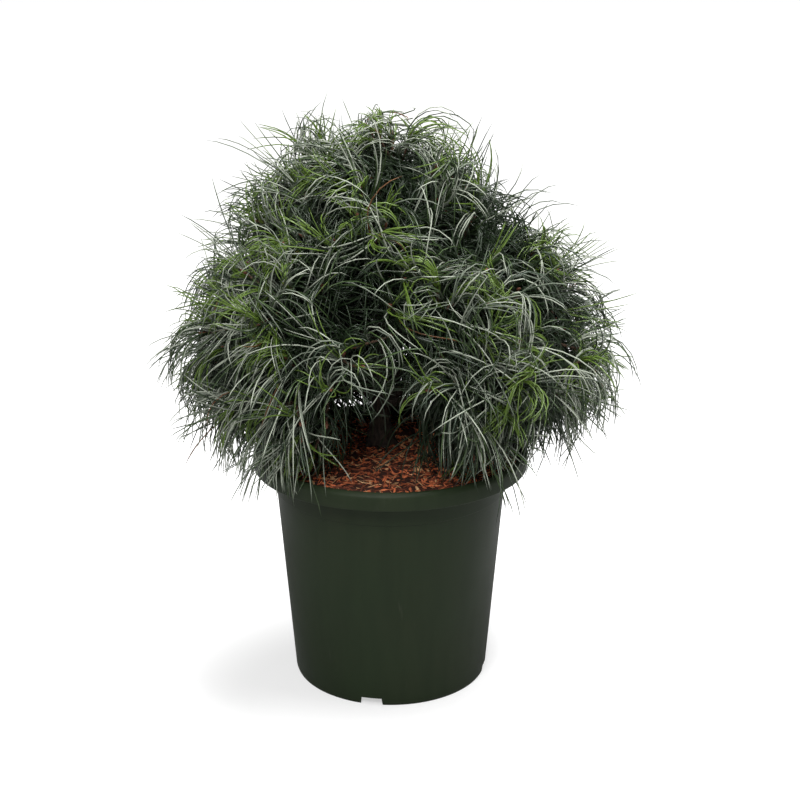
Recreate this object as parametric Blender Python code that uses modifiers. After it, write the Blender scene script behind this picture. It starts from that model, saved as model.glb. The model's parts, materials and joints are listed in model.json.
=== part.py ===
"""Potted eastern white pine, a dwarf form with long drooping needles.

The plant stands in a round nursery pot on a root ball dressed with bark mulch. A short trunk
carries three tiers of boughs and a leader, and each of them ends in a mass of foliage: twigs
that fork off one stem by the golden angle, with tufts of long needles.

Units are metres and +Z is up. The origin is the centre of the pot's flat underside, and -Y is
the front. An azimuth is counted in degrees from the front towards +X.
"""
import math
import random

import bmesh
import bpy
import numpy as np
from mathutils import Vector, noise
from mathutils.bvhtree import BVHTree

OBJECT_NAME = "potted_white_pine"

# Clearance between solids that touch
GAP = 0.0003
# Distance under which two points are one
WELD = 1e-6
# Distance from the axis under which a turned profile closes on it
AXIS_WELD = 0.00005
# Faces that meet at less than this angle are shaded as one
SMOOTH_ANGLE = math.radians(35.0)

# Pot: a tapered wall, a flared collar with a rounded lip, and a raised channel in the underside
POT_SIDES = 40
POT_WALL = 0.0025
POT_FOOT_RADIUS = 0.1003
POT_SHOULDER_RADIUS = 0.1190
POT_SHOULDER_HEIGHT = 0.2260
POT_RING_HEIGHT = 0.2030
POT_RING_STEP = 0.0011
POT_RING_BEVEL = 0.0008
POT_RIM_RADIUS = 0.1400
POT_RIM_HEIGHT = 0.2437
POT_MOUTH_RADIUS = 0.1336
MOUTH_BEVEL = 0.0008
LIP_FLAT = 0.0014
LIP_CREST = 0.0078
LIP_EDGE = 0.0016
FOOT_CHAMFER = 0.0012
CHANNEL_INNER_RADIUS = 0.0790
CHANNEL_HEIGHT = 0.0080

# Drainage notches in the foot of the wall
NOTCH_COUNT = 4
NOTCH_AZIMUTH = -11.0
NOTCH_WIDTH = 0.0245
NOTCH_TOP_WIDTH = 0.0210
NOTCH_HEIGHT = 0.0078
NOTCH_DEPTH = 0.0110

# Root ball and its mulch
MULCH_HEIGHT = 0.2310
MULCH_DOME = 0.0030
MULCH_LUMP = 0.0016
MULCH_LUMP_SIZE = 0.016
MULCH_NOISE_PLANE = 0.5
MULCH_RINGS = 8
SEAT_RADIUS = 0.034

# Trunk
TRUNK_FOOT = Vector((-0.011, 0.041, MULCH_HEIGHT + GAP))
TRUNK_TOP = Vector((0.002, 0.030, 0.470))
TRUNK_BOW = Vector((-0.006, -0.004, 0.0))
TRUNK_RADIUS = 0.0102
TRUNK_TOP_RADIUS = 0.0040
FLARE_RADIUS = 0.0165
FLARE_HEIGHT = 0.022
FLARE_FALL = 3.0
FLARE_LOBES = 5
FLARE_LOBE_DEPTH = 0.16
TRUNK_POINTS = 12
TRUNK_POINT_BIAS = 1.25
TRUNK_RESOLUTION = 3
# Room between the trunk's side and the boughs' cut ends
TRUNK_CLEARANCE = 0.0004

# Crown: an outline round its centre, which the needles' tips reach. It is pointed above its
# widest level and blunt below; a power of 2 would make it an ellipse
CROWN_CENTRE = Vector((0.002, 0.030, 0.352))
CROWN_HALF_WIDTH = 0.232
CROWN_HALF_DEPTH = 0.214
CROWN_RISE = 0.246
CROWN_DROP = 0.152
CROWN_TOP_POWER = 1.5
CROWN_FOOT_POWER = 2.4
SHOOT_INSET = 0.046
CELL_SHARE = 0.68
OPENING_AZIMUTH = -8.0
OPENING_HALF_WIDTH = 17.0
OPENING_TOP = 0.340

# Tiers of boughs: name, count, first azimuth, spread over the last azimuth, height on the
# trunk, elevation seen from the crown's centre, share of the crown's radius at the bough's tip
TIERS = (
    ("low", 6, 36.0, 322.0, 0.276, -11.0, 0.48),
    ("middle", 5, 22.0, 310.0, 0.338, 24.0, 0.46),
    ("upper", 4, 70.0, 340.0, 0.404, 56.0, 0.44),
)
# Height between two boughs of one tier where they leave the trunk
TIER_STAGGER = 0.0085
# How far single masses reach beyond or short of the crown's outline
REACH = {"upper_1": 0.90, "upper_3": 1.06, "middle_2": 0.96, "middle_4": 1.03, "low_2": 1.02}
BOUGH_RADIUS = {"low": 0.0052, "middle": 0.0046, "upper": 0.0040}
BOUGH_TIP_SHARE = 0.55
BOUGH_POINTS = 5
BOUGH_SAG = 0.10
BOUGH_KNEE = 0.55
BOUGH_KNEE_OUT = 0.04

# Foliage: shoots fork off the stem by the golden angle, and needles stand round each shoot
GOLDEN_ANGLE = math.radians(137.508)
# Points of a strip that are held against the pot
POT_STEPS = 8
# Sine of the angle to the vertical under which a heading counts as upright
UPRIGHT = 0.02
SHOOTS = 6
SHOOT_SPREAD = math.radians(32.0)
SHOOT_TRIES = 10
SHOOT_CLOSER = 0.88
SHOOT_MARGIN = 0.010
# How far single shoots beside the stem stay short of the outline
SHOOT_UNEVEN = (0.90, 1.0)
STEM_SWELL = 1.1
STEM_RADIUS = 0.0028
FORK_FIRST = 0.20
FORK_LAST = 0.92
STEM_STRAIGHT = 0.2
STEM_BEND = 0.3
RING_TURN = 0.37
TWIG_ROOT_RADIUS = 0.0023
TWIG_TIP_RADIUS = 0.0021
TWIG_OUTWARD = 0.5
TWIG_LIFT = 0.25
TWIG_SAG = 0.08
TWIG_ROOT_SHARE = 0.25
NEEDLES = 7
NEEDLE_LENGTH = (0.060, 0.080)
NEEDLE_WIDTH = 0.0042
NEEDLE_THICKNESS = 0.0017
NEEDLE_ROOT_WIDTH = 0.34
NEEDLE_ROOT_LENGTH = 0.12
NEEDLE_BEND = 0.48
NEEDLE_START = 0.002
NEEDLE_ZONE = 0.034
NEEDLED_LENGTH = NEEDLE_START + NEEDLE_ZONE + 0.002
NEEDLE_OPEN = (math.radians(26.0), math.radians(78.0))
NEEDLE_DROOP = (0.35, 1.05)
NEEDLE_TRIES = 14
NEEDLE_TURN = 0.18
NEEDLE_LEAN = (0.75, 1.15)
NEEDLE_SHORTER = 0.4
# Seed of the first mass, one more for each next one, and seeds of masses that need another
SEED = 7
OTHER_SEEDS = {"middle_4": 31, "upper_4": 31}

# Joining: tries, the shift and turn of twigs and needles between them, and what counts as a flat face
JOIN_TRIES = 16
JOIN_SHIFT = 0.00017
JOIN_TURN = 0.021
THINNEST_FACE = 1.2e-6
THINNEST_GAP = 2e-7
FLAT_ANGLE = math.radians(0.1)

COLOURS = {
    "pot": ((0.020, 0.032, 0.019, 1.0), 0.42),
    "root_ball": ((0.115, 0.032, 0.016, 1.0), 0.90),
    "wood": ((0.050, 0.030, 0.020, 1.0), 0.85),
    "needles": ((0.038, 0.082, 0.036, 1.0), 0.55),
}


def clear_scene():
    """Remove the objects that a new file holds."""
    for item in list(bpy.data.objects):
        bpy.data.objects.remove(item, do_unlink=True)


def new_collection(name):
    """A collection linked to the scene."""
    collection = bpy.data.collections.new(name)
    bpy.context.scene.collection.children.link(collection)
    return collection


def new_material(name, kind):
    """A Principled BSDF material with the colour and roughness of one kind of surface."""
    colour, roughness = COLOURS[kind]
    material = bpy.data.materials.new(name)
    material.use_nodes = True
    shader = material.node_tree.nodes["Principled BSDF"]
    shader.inputs["Base Color"].default_value = colour
    shader.inputs["Roughness"].default_value = roughness
    shader.inputs["Metallic"].default_value = 0.0
    material.diffuse_color = colour
    return material


def new_object(name, mesh, collection, kind=None):
    """An object with its own material, in a collection."""
    item = bpy.data.objects.new(name, mesh)
    collection.objects.link(item)
    if kind:
        item.data.materials.append(new_material(name + "_finish", kind))
    return item


def evaluated_mesh(item):
    """The mesh that an object's modifiers or curve give."""
    bpy.context.view_layer.update()
    depsgraph = bpy.context.evaluated_depsgraph_get()
    return bpy.data.meshes.new_from_object(item.evaluated_get(depsgraph))


def apply_modifiers(item):
    """Turn an object with modifiers into a plain mesh object."""
    mesh = evaluated_mesh(item)
    item.modifiers.clear()
    item.data = mesh


def boolean(item, operation, operand=None, collection=None):
    """Join to an object, or cut from it, another object or a whole collection."""
    modifier = item.modifiers.new(operation.lower(), "BOOLEAN")
    modifier.operation = operation
    modifier.solver = "EXACT"
    if collection:
        modifier.operand_type = "COLLECTION"
        modifier.collection = collection
    else:
        modifier.object = operand
    apply_modifiers(item)


def remove_object(item):
    """Remove a helper object."""
    bpy.data.objects.remove(item, do_unlink=True)


def turned(name, profile, collection, kind):
    """A turned solid from a profile that runs from the axis, down its outer side, to the axis."""
    mesh = bpy.data.meshes.new(name)
    points = [(radius, 0.0, height) for radius, height in profile]
    edges = [(i, i + 1) for i in range(len(points) - 1)]
    mesh.from_pydata(points, edges, [])
    item = new_object(name, mesh, collection, kind)
    screw = item.modifiers.new("turn", "SCREW")
    screw.axis = "Z"
    screw.steps = POT_SIDES
    screw.render_steps = POT_SIDES
    screw.use_merge_vertices = True
    screw.merge_threshold = AXIS_WELD
    apply_modifiers(item)
    bm = bmesh.new()
    bm.from_mesh(item.data)
    bmesh.ops.remove_doubles(bm, verts=bm.verts, dist=WELD)
    bm.to_mesh(item.data)
    bm.free()
    return item


def arc(centre, radii, start, end, count):
    """Points of a quarter ellipse in a profile, angles in degrees from the outward axis."""
    points = []
    for i in range(count + 1):
        angle = math.radians(start + (end - start) * i / count)
        points.append((centre[0] + radii[0] * math.cos(angle), centre[1] + radii[1] * math.sin(angle)))
    return points


def pot_outer_radius(height):
    """Radius of the tapered wall's outer side at a height."""
    share = height / POT_SHOULDER_HEIGHT
    return POT_FOOT_RADIUS + (POT_SHOULDER_RADIUS - POT_FOOT_RADIUS) * share


def pot_inner_radius(height):
    """Radius of the tapered wall's inner side at a height."""
    return pot_outer_radius(height) - POT_WALL


def make_pot(collection, cutters):
    """The pot: wall, collar, lip and floor in one turned shell, with notches in its foot."""
    shelf = POT_SHOULDER_HEIGHT + POT_WALL
    channel_top = CHANNEL_HEIGHT + POT_WALL
    channel_inner = CHANNEL_INNER_RADIUS - POT_WALL
    channel_outer = POT_FOOT_RADIUS - POT_WALL
    crest = POT_RIM_HEIGHT - LIP_CREST
    profile = [(0.0, POT_WALL), (channel_inner, POT_WALL), (channel_inner, channel_top)]
    profile += [(pot_inner_radius(channel_top), channel_top)]
    profile += [(pot_inner_radius(POT_SHOULDER_HEIGHT), shelf), (POT_MOUTH_RADIUS, shelf)]
    profile += [(POT_MOUTH_RADIUS, POT_RIM_HEIGHT - MOUTH_BEVEL)]
    profile += [(POT_MOUTH_RADIUS + MOUTH_BEVEL, POT_RIM_HEIGHT)]
    crest_width = POT_RIM_RADIUS - POT_MOUTH_RADIUS - LIP_FLAT
    profile += arc((POT_RIM_RADIUS - crest_width, crest), (crest_width, LIP_CREST), 90, 0, 3)
    edge = (POT_RIM_RADIUS - LIP_EDGE, POT_SHOULDER_HEIGHT + LIP_EDGE)
    profile += arc(edge, (LIP_EDGE, LIP_EDGE), 0, -90, 2)
    profile += [(POT_SHOULDER_RADIUS + POT_RING_STEP, POT_SHOULDER_HEIGHT)]
    profile += [(pot_outer_radius(POT_RING_HEIGHT) + POT_RING_STEP, POT_RING_HEIGHT + POT_RING_BEVEL)]
    profile += [(pot_outer_radius(POT_RING_HEIGHT), POT_RING_HEIGHT)]
    profile += [(POT_FOOT_RADIUS, FOOT_CHAMFER), (POT_FOOT_RADIUS - FOOT_CHAMFER, 0.0)]
    profile += [(channel_outer, 0.0), (channel_outer, CHANNEL_HEIGHT)]
    profile += [(CHANNEL_INNER_RADIUS, CHANNEL_HEIGHT), (CHANNEL_INNER_RADIUS, 0.0), (0.0, 0.0)]
    pot = turned("pot", profile, collection, "pot")
    for i in range(NOTCH_COUNT):
        angle = math.radians(NOTCH_AZIMUTH - 90.0 + 360.0 * i / NOTCH_COUNT)
        cutter = notch_cutter("notch_cutter_%d" % (i + 1), angle, cutters)
        boolean(pot, "DIFFERENCE", operand=cutter)
    return pot


def notch_cutter(name, angle, cutters):
    """A block, narrower at its top, that cuts one drainage notch."""
    mesh = bpy.data.meshes.new(name)
    bm = bmesh.new()
    bmesh.ops.create_cube(bm, size=1.0)
    for vertex in bm.verts:
        width = NOTCH_TOP_WIDTH if vertex.co.z > 0 else NOTCH_WIDTH
        height = NOTCH_HEIGHT if vertex.co.z > 0 else -NOTCH_HEIGHT
        along = POT_FOOT_RADIUS + vertex.co.x * NOTCH_DEPTH
        side = vertex.co.y * width
        vertex.co.x = along * math.cos(angle) - side * math.sin(angle)
        vertex.co.y = along * math.sin(angle) + side * math.cos(angle)
        vertex.co.z = height
    bm.to_mesh(mesh)
    bm.free()
    cutter = new_object(name, mesh, cutters)
    cutter.hide_render = True
    cutter.display_type = "WIRE"
    return cutter


def mulch_surface(x, y):
    """Height of the mulch: a low dome with lumps, and a flat seat under the trunk."""
    edge = POT_MOUTH_RADIUS - GAP
    dome = MULCH_DOME * max(0.0, 1.0 - (x * x + y * y) / (edge * edge))
    point = Vector((x / MULCH_LUMP_SIZE, y / MULCH_LUMP_SIZE, MULCH_NOISE_PLANE))
    lumps = MULCH_LUMP * noise.noise(point)
    away = math.hypot(x - TRUNK_FOOT.x, y - TRUNK_FOOT.y)
    share = min(1.0, max(0.0, away / SEAT_RADIUS - 1.0))
    return MULCH_HEIGHT + (dome + lumps) * share


def make_root_ball(collection):
    """The root ball fills the pot, and its top is the mulch."""
    shelf = POT_SHOULDER_HEIGHT + POT_WALL + GAP
    channel_top = CHANNEL_HEIGHT + POT_WALL + GAP
    channel_inner = CHANNEL_INNER_RADIUS - POT_WALL - GAP
    floor = POT_WALL + GAP
    edge = POT_MOUTH_RADIUS - GAP
    profile = [(edge * i / MULCH_RINGS, MULCH_HEIGHT) for i in range(MULCH_RINGS + 1)]
    profile += [(edge, shelf), (pot_inner_radius(POT_SHOULDER_HEIGHT) - GAP, shelf)]
    profile += [(pot_inner_radius(channel_top) - GAP, channel_top), (channel_inner, channel_top)]
    profile += [(channel_inner, floor), (0.0, floor)]
    ball = turned("root_ball", profile, collection, "root_ball")
    for vertex in ball.data.vertices:
        if vertex.co.z > MULCH_HEIGHT - WELD:
            vertex.co.z = mulch_surface(vertex.co.x, vertex.co.y)
    return ball


def bezier(points, share):
    """A point on the Bezier curve of any number of control points."""
    while len(points) > 1:
        points = [a.lerp(b, share) for a, b in zip(points, points[1:])]
    return points[0]


def point_along(points, share):
    """A point at a share of the way along a line of points."""
    place = share * (len(points) - 1)
    i = min(int(place), len(points) - 2)
    return points[i].lerp(points[i + 1], place - i)


def bezier_path(points, count):
    """Evenly numbered points along a Bezier curve."""
    return [bezier(points, i / (count - 1)) for i in range(count)]


def trunk_path():
    """Centre line of the trunk, upright at its foot, as (point, radius) pairs."""
    rise = Vector((0.0, 0.0, (TRUNK_TOP.z - TRUNK_FOOT.z) / 3.0))
    controls = [TRUNK_FOOT, TRUNK_FOOT + rise, TRUNK_TOP - rise + TRUNK_BOW, TRUNK_TOP]
    path = []
    for i in range(TRUNK_POINTS):
        share = (i / (TRUNK_POINTS - 1)) ** TRUNK_POINT_BIAS
        point = bezier(controls, share)
        if i == 1:
            point.xy = TRUNK_FOOT.xy
        height = point.z - TRUNK_FOOT.z
        flare = (FLARE_RADIUS - TRUNK_RADIUS) * math.exp(-FLARE_FALL * height / FLARE_HEIGHT)
        taper = TRUNK_RADIUS + (TRUNK_TOP_RADIUS - TRUNK_RADIUS) * share
        path.append((point, taper + flare))
    return path


def point_at_height(path, height):
    """Point and radius where a rising path passes a height."""
    for (low, low_radius), (high, high_radius) in zip(path, path[1:]):
        if low.z <= height <= high.z:
            share = (height - low.z) / (high.z - low.z)
            return low.lerp(high, share), low_radius + (high_radius - low_radius) * share
    return path[-1]


def limb_mesh(name, path, collection, resolution=1, grow=0.0):
    """A tapering tube with closed ends along (point, radius) pairs, as a mesh object."""
    curve = bpy.data.curves.new(name, "CURVE")
    curve.dimensions = "3D"
    curve.bevel_depth = 1.0
    curve.bevel_resolution = resolution
    curve.use_fill_caps = True
    spline = curve.splines.new("POLY")
    spline.points.add(len(path) - 1)
    for target, (point, radius) in zip(spline.points, path):
        target.co = (point.x, point.y, point.z, 1.0)
        target.radius = radius + grow
    helper = bpy.data.objects.new(name + "_curve", curve)
    collection.objects.link(helper)
    mesh = evaluated_mesh(helper)
    remove_object(helper)
    bm = bmesh.new()
    bm.from_mesh(mesh)
    bmesh.ops.remove_doubles(bm, verts=bm.verts, dist=WELD)
    bmesh.ops.recalc_face_normals(bm, faces=bm.faces)
    bm.to_mesh(mesh)
    bm.free()
    mesh.name = name
    item = bpy.data.objects.new(name, mesh)
    collection.objects.link(item)
    return item


def shape_root_flare(trunk):
    """Push the trunk's foot out into the first spread of its roots."""
    for vertex in trunk.data.vertices:
        height = vertex.co.z - TRUNK_FOOT.z
        share = math.exp(-FLARE_FALL * height / FLARE_HEIGHT)
        offset = Vector((vertex.co.x - TRUNK_FOOT.x, vertex.co.y - TRUNK_FOOT.y, 0.0))
        lobe = math.cos(FLARE_LOBES * math.atan2(offset.y, offset.x))
        vertex.co += offset * (FLARE_LOBE_DEPTH * share * lobe)


def direction(azimuth, elevation):
    """Unit vector at an azimuth from the front and an elevation, in degrees."""
    turn = math.radians(azimuth)
    rise = math.radians(elevation)
    flat = math.cos(rise)
    return Vector((math.sin(turn) * flat, -math.cos(turn) * flat, math.sin(rise)))


def crown_radius(heading):
    """Distance from the crown's centre to its outline along a unit vector."""
    level = math.hypot(heading.x / CROWN_HALF_WIDTH, heading.y / CROWN_HALF_DEPTH)
    if heading.z > 0.0:
        power = CROWN_TOP_POWER
        upright = heading.z / CROWN_RISE
    else:
        power = CROWN_FOOT_POWER
        upright = -heading.z / CROWN_DROP
    return (level ** power + upright ** power) ** (-1.0 / power)


def plan_masses(trunk):
    """Lay out every mass: its name, heading, reach, and the bough that carries it."""
    plans = []
    for tier, count, first, last, height, elevation, tip_share in TIERS:
        for i in range(count):
            name = "%s_%d" % (tier, i + 1)
            azimuth = first + (last - first) * i / (count - 1)
            reach = REACH.get(name, 1.0)
            heading = direction(azimuth, elevation)
            tip = CROWN_CENTRE + heading * (crown_radius(heading) * reach * tip_share)
            level = height + TIER_STAGGER * ((i * 2) % count) / 2.0
            root, trunk_radius = point_at_height(trunk, level)
            radius = BOUGH_RADIUS[tier]
            flat = Vector((heading.x, heading.y, 0.0)).normalized()
            length = (tip - root).length
            sag = Vector((0.0, 0.0, -BOUGH_SAG * length))
            knee = root.lerp(tip, BOUGH_KNEE) + sag + flat * (BOUGH_KNEE_OUT * length)
            path = []
            for j, point in enumerate(bezier_path([root, knee, tip], BOUGH_POINTS)):
                share = j / (BOUGH_POINTS - 1)
                path.append((point, radius * (1.0 + (BOUGH_TIP_SHARE - 1.0) * share)))
            plans.append({"name": name, "heading": heading, "reach": reach, "path": path})
    heading = Vector((0.0, 0.0, 1.0))
    plans.append({"name": "leader", "heading": heading, "reach": 1.0, "path": trunk})
    for plan in plans:
        outline = crown_radius(plan["heading"]) * plan["reach"]
        plan["centre"] = CROWN_CENTRE + plan["heading"] * (outline * CELL_SHARE)
    return plans


def capsules(path):
    """The straight pieces of a limb as (start, end, radius)."""
    pieces = []
    for (start, start_radius), (end, end_radius) in zip(path, path[1:]):
        pieces.append((start, end, max(start_radius, end_radius)))
    return pieces


def segment_gaps(start, end, pieces):
    """Least distance from one segment to each of many, less their radii."""
    if not pieces:
        return np.array([1.0])
    first = np.array([tuple(piece[0]) for piece in pieces])
    second = np.array([tuple(piece[1]) for piece in pieces])
    radii = np.array([piece[2] for piece in pieces])
    origin = np.array(tuple(start))
    along = np.array(tuple(end)) - origin
    across = second - first
    offset = origin - first
    aa = along @ along
    ee = np.einsum("ij,ij->i", across, across)
    ff = np.einsum("ij,ij->i", across, offset)
    cc = offset @ along
    bb = across @ along
    spread = np.maximum(aa * ee - bb * bb, 1e-18)
    s = np.clip((bb * ff - cc * ee) / spread, 0.0, 1.0)
    t = np.clip((bb * s + ff) / ee, 0.0, 1.0)
    s = np.clip((bb * t - cc) / aa, 0.0, 1.0)
    nearest = (origin + np.outer(s, along)) - (first + across * t[:, None])
    return np.linalg.norm(nearest, axis=1) - radii


def clear_of_pot(point, margin):
    """Whether a point keeps clear of the pot and of the mulch in it."""
    radius = math.hypot(point.x, point.y)
    if point.z > POT_RIM_HEIGHT + margin or radius > POT_RIM_RADIUS + margin:
        return True
    top = MULCH_HEIGHT + MULCH_DOME + MULCH_LUMP + margin
    return radius < POT_MOUTH_RADIUS - margin and point.z > top


class Space:
    """The room that one mass keeps to: nearer its own centre than any other, off every limb."""

    def __init__(self, plan, plans, limbs):
        self.planes = []
        for other in plans:
            if other is not plan:
                away = other["centre"] - plan["centre"]
                self.planes.append((away.normalized(), (other["centre"] + plan["centre"]) / 2.0))
        self.limbs = limbs
        self.reach = plan["reach"]
        self.pieces = []

    def holds(self, point, margin=2.0 * GAP):
        """Whether a point lies in the room, clear of its walls and inside the outline."""
        offset = point - CROWN_CENTRE
        if offset.length > crown_radius(offset.normalized()) * self.reach:
            return False
        return all(normal.dot(point - middle) < -margin for normal, middle in self.planes)

    def takes(self, points, width, skip=()):
        """Whether a strip of some width along points touches nothing that is there already."""
        margin = width / 2.0 + 2.0 * GAP
        for start, end in zip(points, points[1:]):
            if segment_gaps(start, end, self.limbs).min() < margin:
                return False
            others = [piece for piece in self.pieces if piece[3] not in skip]
            if segment_gaps(start, end, others).min() < margin:
                return False
            for i in range(POT_STEPS + 1):
                if not clear_of_pot(start.lerp(end, i / POT_STEPS), margin):
                    return False
        return True

    def add(self, points, width, owner):
        """Remember a strip, so that the next ones keep off it."""
        for start, end in zip(points, points[1:]):
            self.pieces.append((start, end, width / 2.0, owner))


def across_vectors(heading, hint=None):
    """Two unit vectors across a heading: one level, or nearest to a hint, one square to both."""
    level = hint or heading.cross(Vector((0.0, 0.0, 1.0)))
    if level.length < UPRIGHT:
        level = Vector((1.0, 0.0, 0.0))
    level = (level - heading * level.dot(heading)).normalized()
    return level, level.cross(heading).normalized()


def lofted(name, rings, collection):
    """A closed three-sided solid through rings of three points, the last may be one point."""
    bm = bmesh.new()
    loops = [[bm.verts.new(point) for point in ring] for ring in rings]
    bm.faces.new(loops[0])
    for low, high in zip(loops, loops[1:]):
        for i in range(3):
            k = (i + 1) % 3
            if len(high) == 1:
                bm.faces.new((low[i], low[k], high[0]))
            else:
                bm.faces.new((low[i], low[k], high[k], high[i]))
    if len(loops[-1]) == 3:
        bm.faces.new(loops[-1])
    bmesh.ops.recalc_face_normals(bm, faces=bm.faces)
    bmesh.ops.triangulate(bm, faces=bm.faces)
    mesh = bpy.data.meshes.new(name)
    bm.to_mesh(mesh)
    bm.free()
    item = bpy.data.objects.new(name, mesh)
    collection.objects.link(item)
    return item


def twig_rings(points, first_radius, last_radius, turn):
    """Three-sided rings along a twig, turned about it by an angle."""
    rings = []
    level, _ = across_vectors((points[-1] - points[0]).normalized())
    for i, point in enumerate(points):
        ahead = points[min(i + 1, len(points) - 1)] - points[max(i - 1, 0)]
        level, square = across_vectors(ahead.normalized(), level)
        radius = first_radius + (last_radius - first_radius) * i / (len(points) - 1)
        ring = []
        for k in range(3):
            angle = turn + math.radians(90.0 + 120.0 * k)
            ring.append(point + (level * math.cos(angle) + square * math.sin(angle)) * radius)
        rings.append(ring)
    return rings


def needle_rings(points, width, thickness):
    """Rings of a flat three-sided needle: full at its root and bend, ending in a point."""
    rings = []
    level, square = across_vectors((points[1] - points[0]).normalized())
    for point, share in zip(points, (NEEDLE_ROOT_WIDTH, 1.0)):
        half = level * (width * share / 2.0)
        rise = square * (thickness * share / 2.0)
        rings.append([point + half - rise, point - half - rise, point + rise])
    rings.append([points[2]])
    return rings


def needle_points(root, heading, length, droop):
    """Root, bend and tip of a needle that sets out along a heading and hangs over."""
    bend = root + heading * (length * NEEDLE_BEND)
    fall = (heading + Vector((0.0, 0.0, -droop))).normalized()
    return [root, bend, bend + fall * (length * (1.0 - NEEDLE_BEND))]


def grow_shoot(points, space, draw, collection, owner, attempt):
    """Set needles round the last stretch of a twig, wherever there is room for them."""
    axis = (points[-1] - points[-2]).normalized()
    level, square = across_vectors(axis)
    roll = draw.uniform(0.0, 2.0 * math.pi) + JOIN_TURN * attempt
    for k in range(NEEDLES):
        back = k / (NEEDLES - 1)
        root = points[-1] - axis * (NEEDLE_START + NEEDLE_ZONE * back + JOIN_SHIFT * attempt)
        lean = NEEDLE_OPEN[0] + (NEEDLE_OPEN[1] - NEEDLE_OPEN[0]) * back
        for turn in range(NEEDLE_TRIES):
            angle = roll + k * GOLDEN_ANGLE + draw.uniform(-NEEDLE_TURN, NEEDLE_TURN) * turn
            side = level * math.cos(angle) + square * math.sin(angle)
            tilt = lean * draw.uniform(*NEEDLE_LEAN)
            heading = axis * math.cos(tilt) + side * math.sin(tilt)
            shorter = 1.0 - NEEDLE_SHORTER * turn / NEEDLE_TRIES
            length = draw.uniform(*NEEDLE_LENGTH) * shorter
            path = needle_points(root, heading, length, draw.uniform(*NEEDLE_DROOP))
            rings = needle_rings(path, NEEDLE_WIDTH, NEEDLE_THICKNESS)
            if not all(space.holds(corner) for ring in rings for corner in ring):
                continue
            free = [path[0].lerp(path[1], NEEDLE_ROOT_LENGTH), path[1], path[2]]
            inner_fits = space.takes(free[:2], NEEDLE_WIDTH, skip=(owner,))
            if inner_fits and space.takes(free[1:], NEEDLE_WIDTH):
                lofted("needle", rings, collection)
                space.add(free, NEEDLE_WIDTH, owner + "_needle_%d" % k)
                break


def shoot_targets(plan, space, draw):
    """Where the shoots of a mass end: a golden-angle spiral round its heading, in its room."""
    level, square = across_vectors(plan["heading"])
    roll = draw.uniform(0.0, 2.0 * math.pi)
    targets = []
    for k in range(SHOOTS):
        spread = SHOOT_SPREAD * math.sqrt(k / (SHOOTS - 1))
        angle = roll + k * GOLDEN_ANGLE
        side = level * math.cos(angle) + square * math.sin(angle)
        uneven = draw.uniform(*SHOOT_UNEVEN) if k else 1.0
        for closer in range(SHOOT_TRIES):
            tilt = spread * SHOOT_CLOSER ** closer
            heading = plan["heading"] * math.cos(tilt) + side * math.sin(tilt)
            outline = crown_radius(heading) * plan["reach"] * uneven
            target = CROWN_CENTRE + heading * (outline - SHOOT_INSET)
            if space.holds(target, SHOOT_MARGIN) and not in_opening(target):
                targets.append((heading, target))
                break
    return targets


def in_opening(point):
    """Whether a point lies in the gap at the front, where the trunk and mulch show."""
    offset = point - CROWN_CENTRE
    azimuth = math.degrees(math.atan2(offset.x, -offset.y))
    return point.z < OPENING_TOP and abs(azimuth - OPENING_AZIMUTH) < OPENING_HALF_WIDTH


def shoot_course(fork, target, heading):
    """Direction in which a shoot ends: away from its fork, outwards and a little up."""
    course = (target - fork).normalized() + heading * TWIG_OUTWARD + Vector((0.0, 0.0, TWIG_LIFT))
    return course.normalized()


def stem_points(plan, target):
    """Centre line of a mass's stem, from its limb's tip on to the leading shoot's tip."""
    (before, _), (tip, _) = plan["path"][-2:]
    ahead = (tip - before).normalized()
    start = tip + ahead * GAP
    course = shoot_course(start, target, plan["heading"])
    before_tip = target - course * NEEDLED_LENGTH
    reach = (before_tip - start).length
    first = start + ahead * (STEM_STRAIGHT * reach)
    controls = [first, first + ahead * (STEM_BEND * reach)]
    controls += [before_tip - course * (STEM_STRAIGHT * reach), before_tip]
    return [start, first, bezier(controls, 0.5), before_tip, target]


def twig_points(stem, target, heading, share):
    """Centre line of a shoot that forks off the stem at a share of its bare length."""
    fork = point_along(stem[:-1], share)
    before_tip = target - shoot_course(fork, target, heading) * NEEDLED_LENGTH
    sag = Vector((0.0, 0.0, -TWIG_SAG * (before_tip - fork).length))
    return [fork, fork.lerp(before_tip, 0.5) + sag, before_tip, target]


def grow_mass(plan, plans, limbs, collection, seed, attempt):
    """Grow one mass of foliage, a stem with shoots and needles, and join it to one solid."""
    draw = random.Random(seed)
    space = Space(plan, plans, limbs)
    loose = new_collection("loose_" + plan["name"])
    targets = shoot_targets(plan, space, draw)
    stem = stem_points(plan, targets[0][1])
    rings = twig_rings(stem, plan["path"][-1][1] * STEM_SWELL, TWIG_TIP_RADIUS, 0.0)
    body = lofted("foliage_" + plan["name"], rings, collection)
    space.add(stem, 2.0 * STEM_RADIUS, "stem")
    shoots = [(stem, "stem")]
    for k, (heading, target) in enumerate(targets[1:], 1):
        share = FORK_LAST - (FORK_LAST - FORK_FIRST) * k / SHOOTS
        points = twig_points(stem, target, heading, share)
        free = [points[0].lerp(points[1], TWIG_ROOT_SHARE)] + points[1:]
        if space.takes(free, 2.0 * TWIG_TIP_RADIUS, skip=("stem",)):
            turn = RING_TURN * k + JOIN_TURN * attempt
            lofted("twig", twig_rings(points, TWIG_ROOT_RADIUS, TWIG_TIP_RADIUS, turn), loose)
            space.add(points, 2.0 * TWIG_ROOT_RADIUS, "twig_%d" % k)
            shoots.append((points, "twig_%d" % k))
    for points, owner in shoots:
        grow_shoot(points, space, draw, loose, owner, attempt)
    boolean(body, "UNION", collection=loose)
    for item in list(loose.objects):
        remove_object(item)
    bpy.data.collections.remove(loose)
    return body


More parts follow.
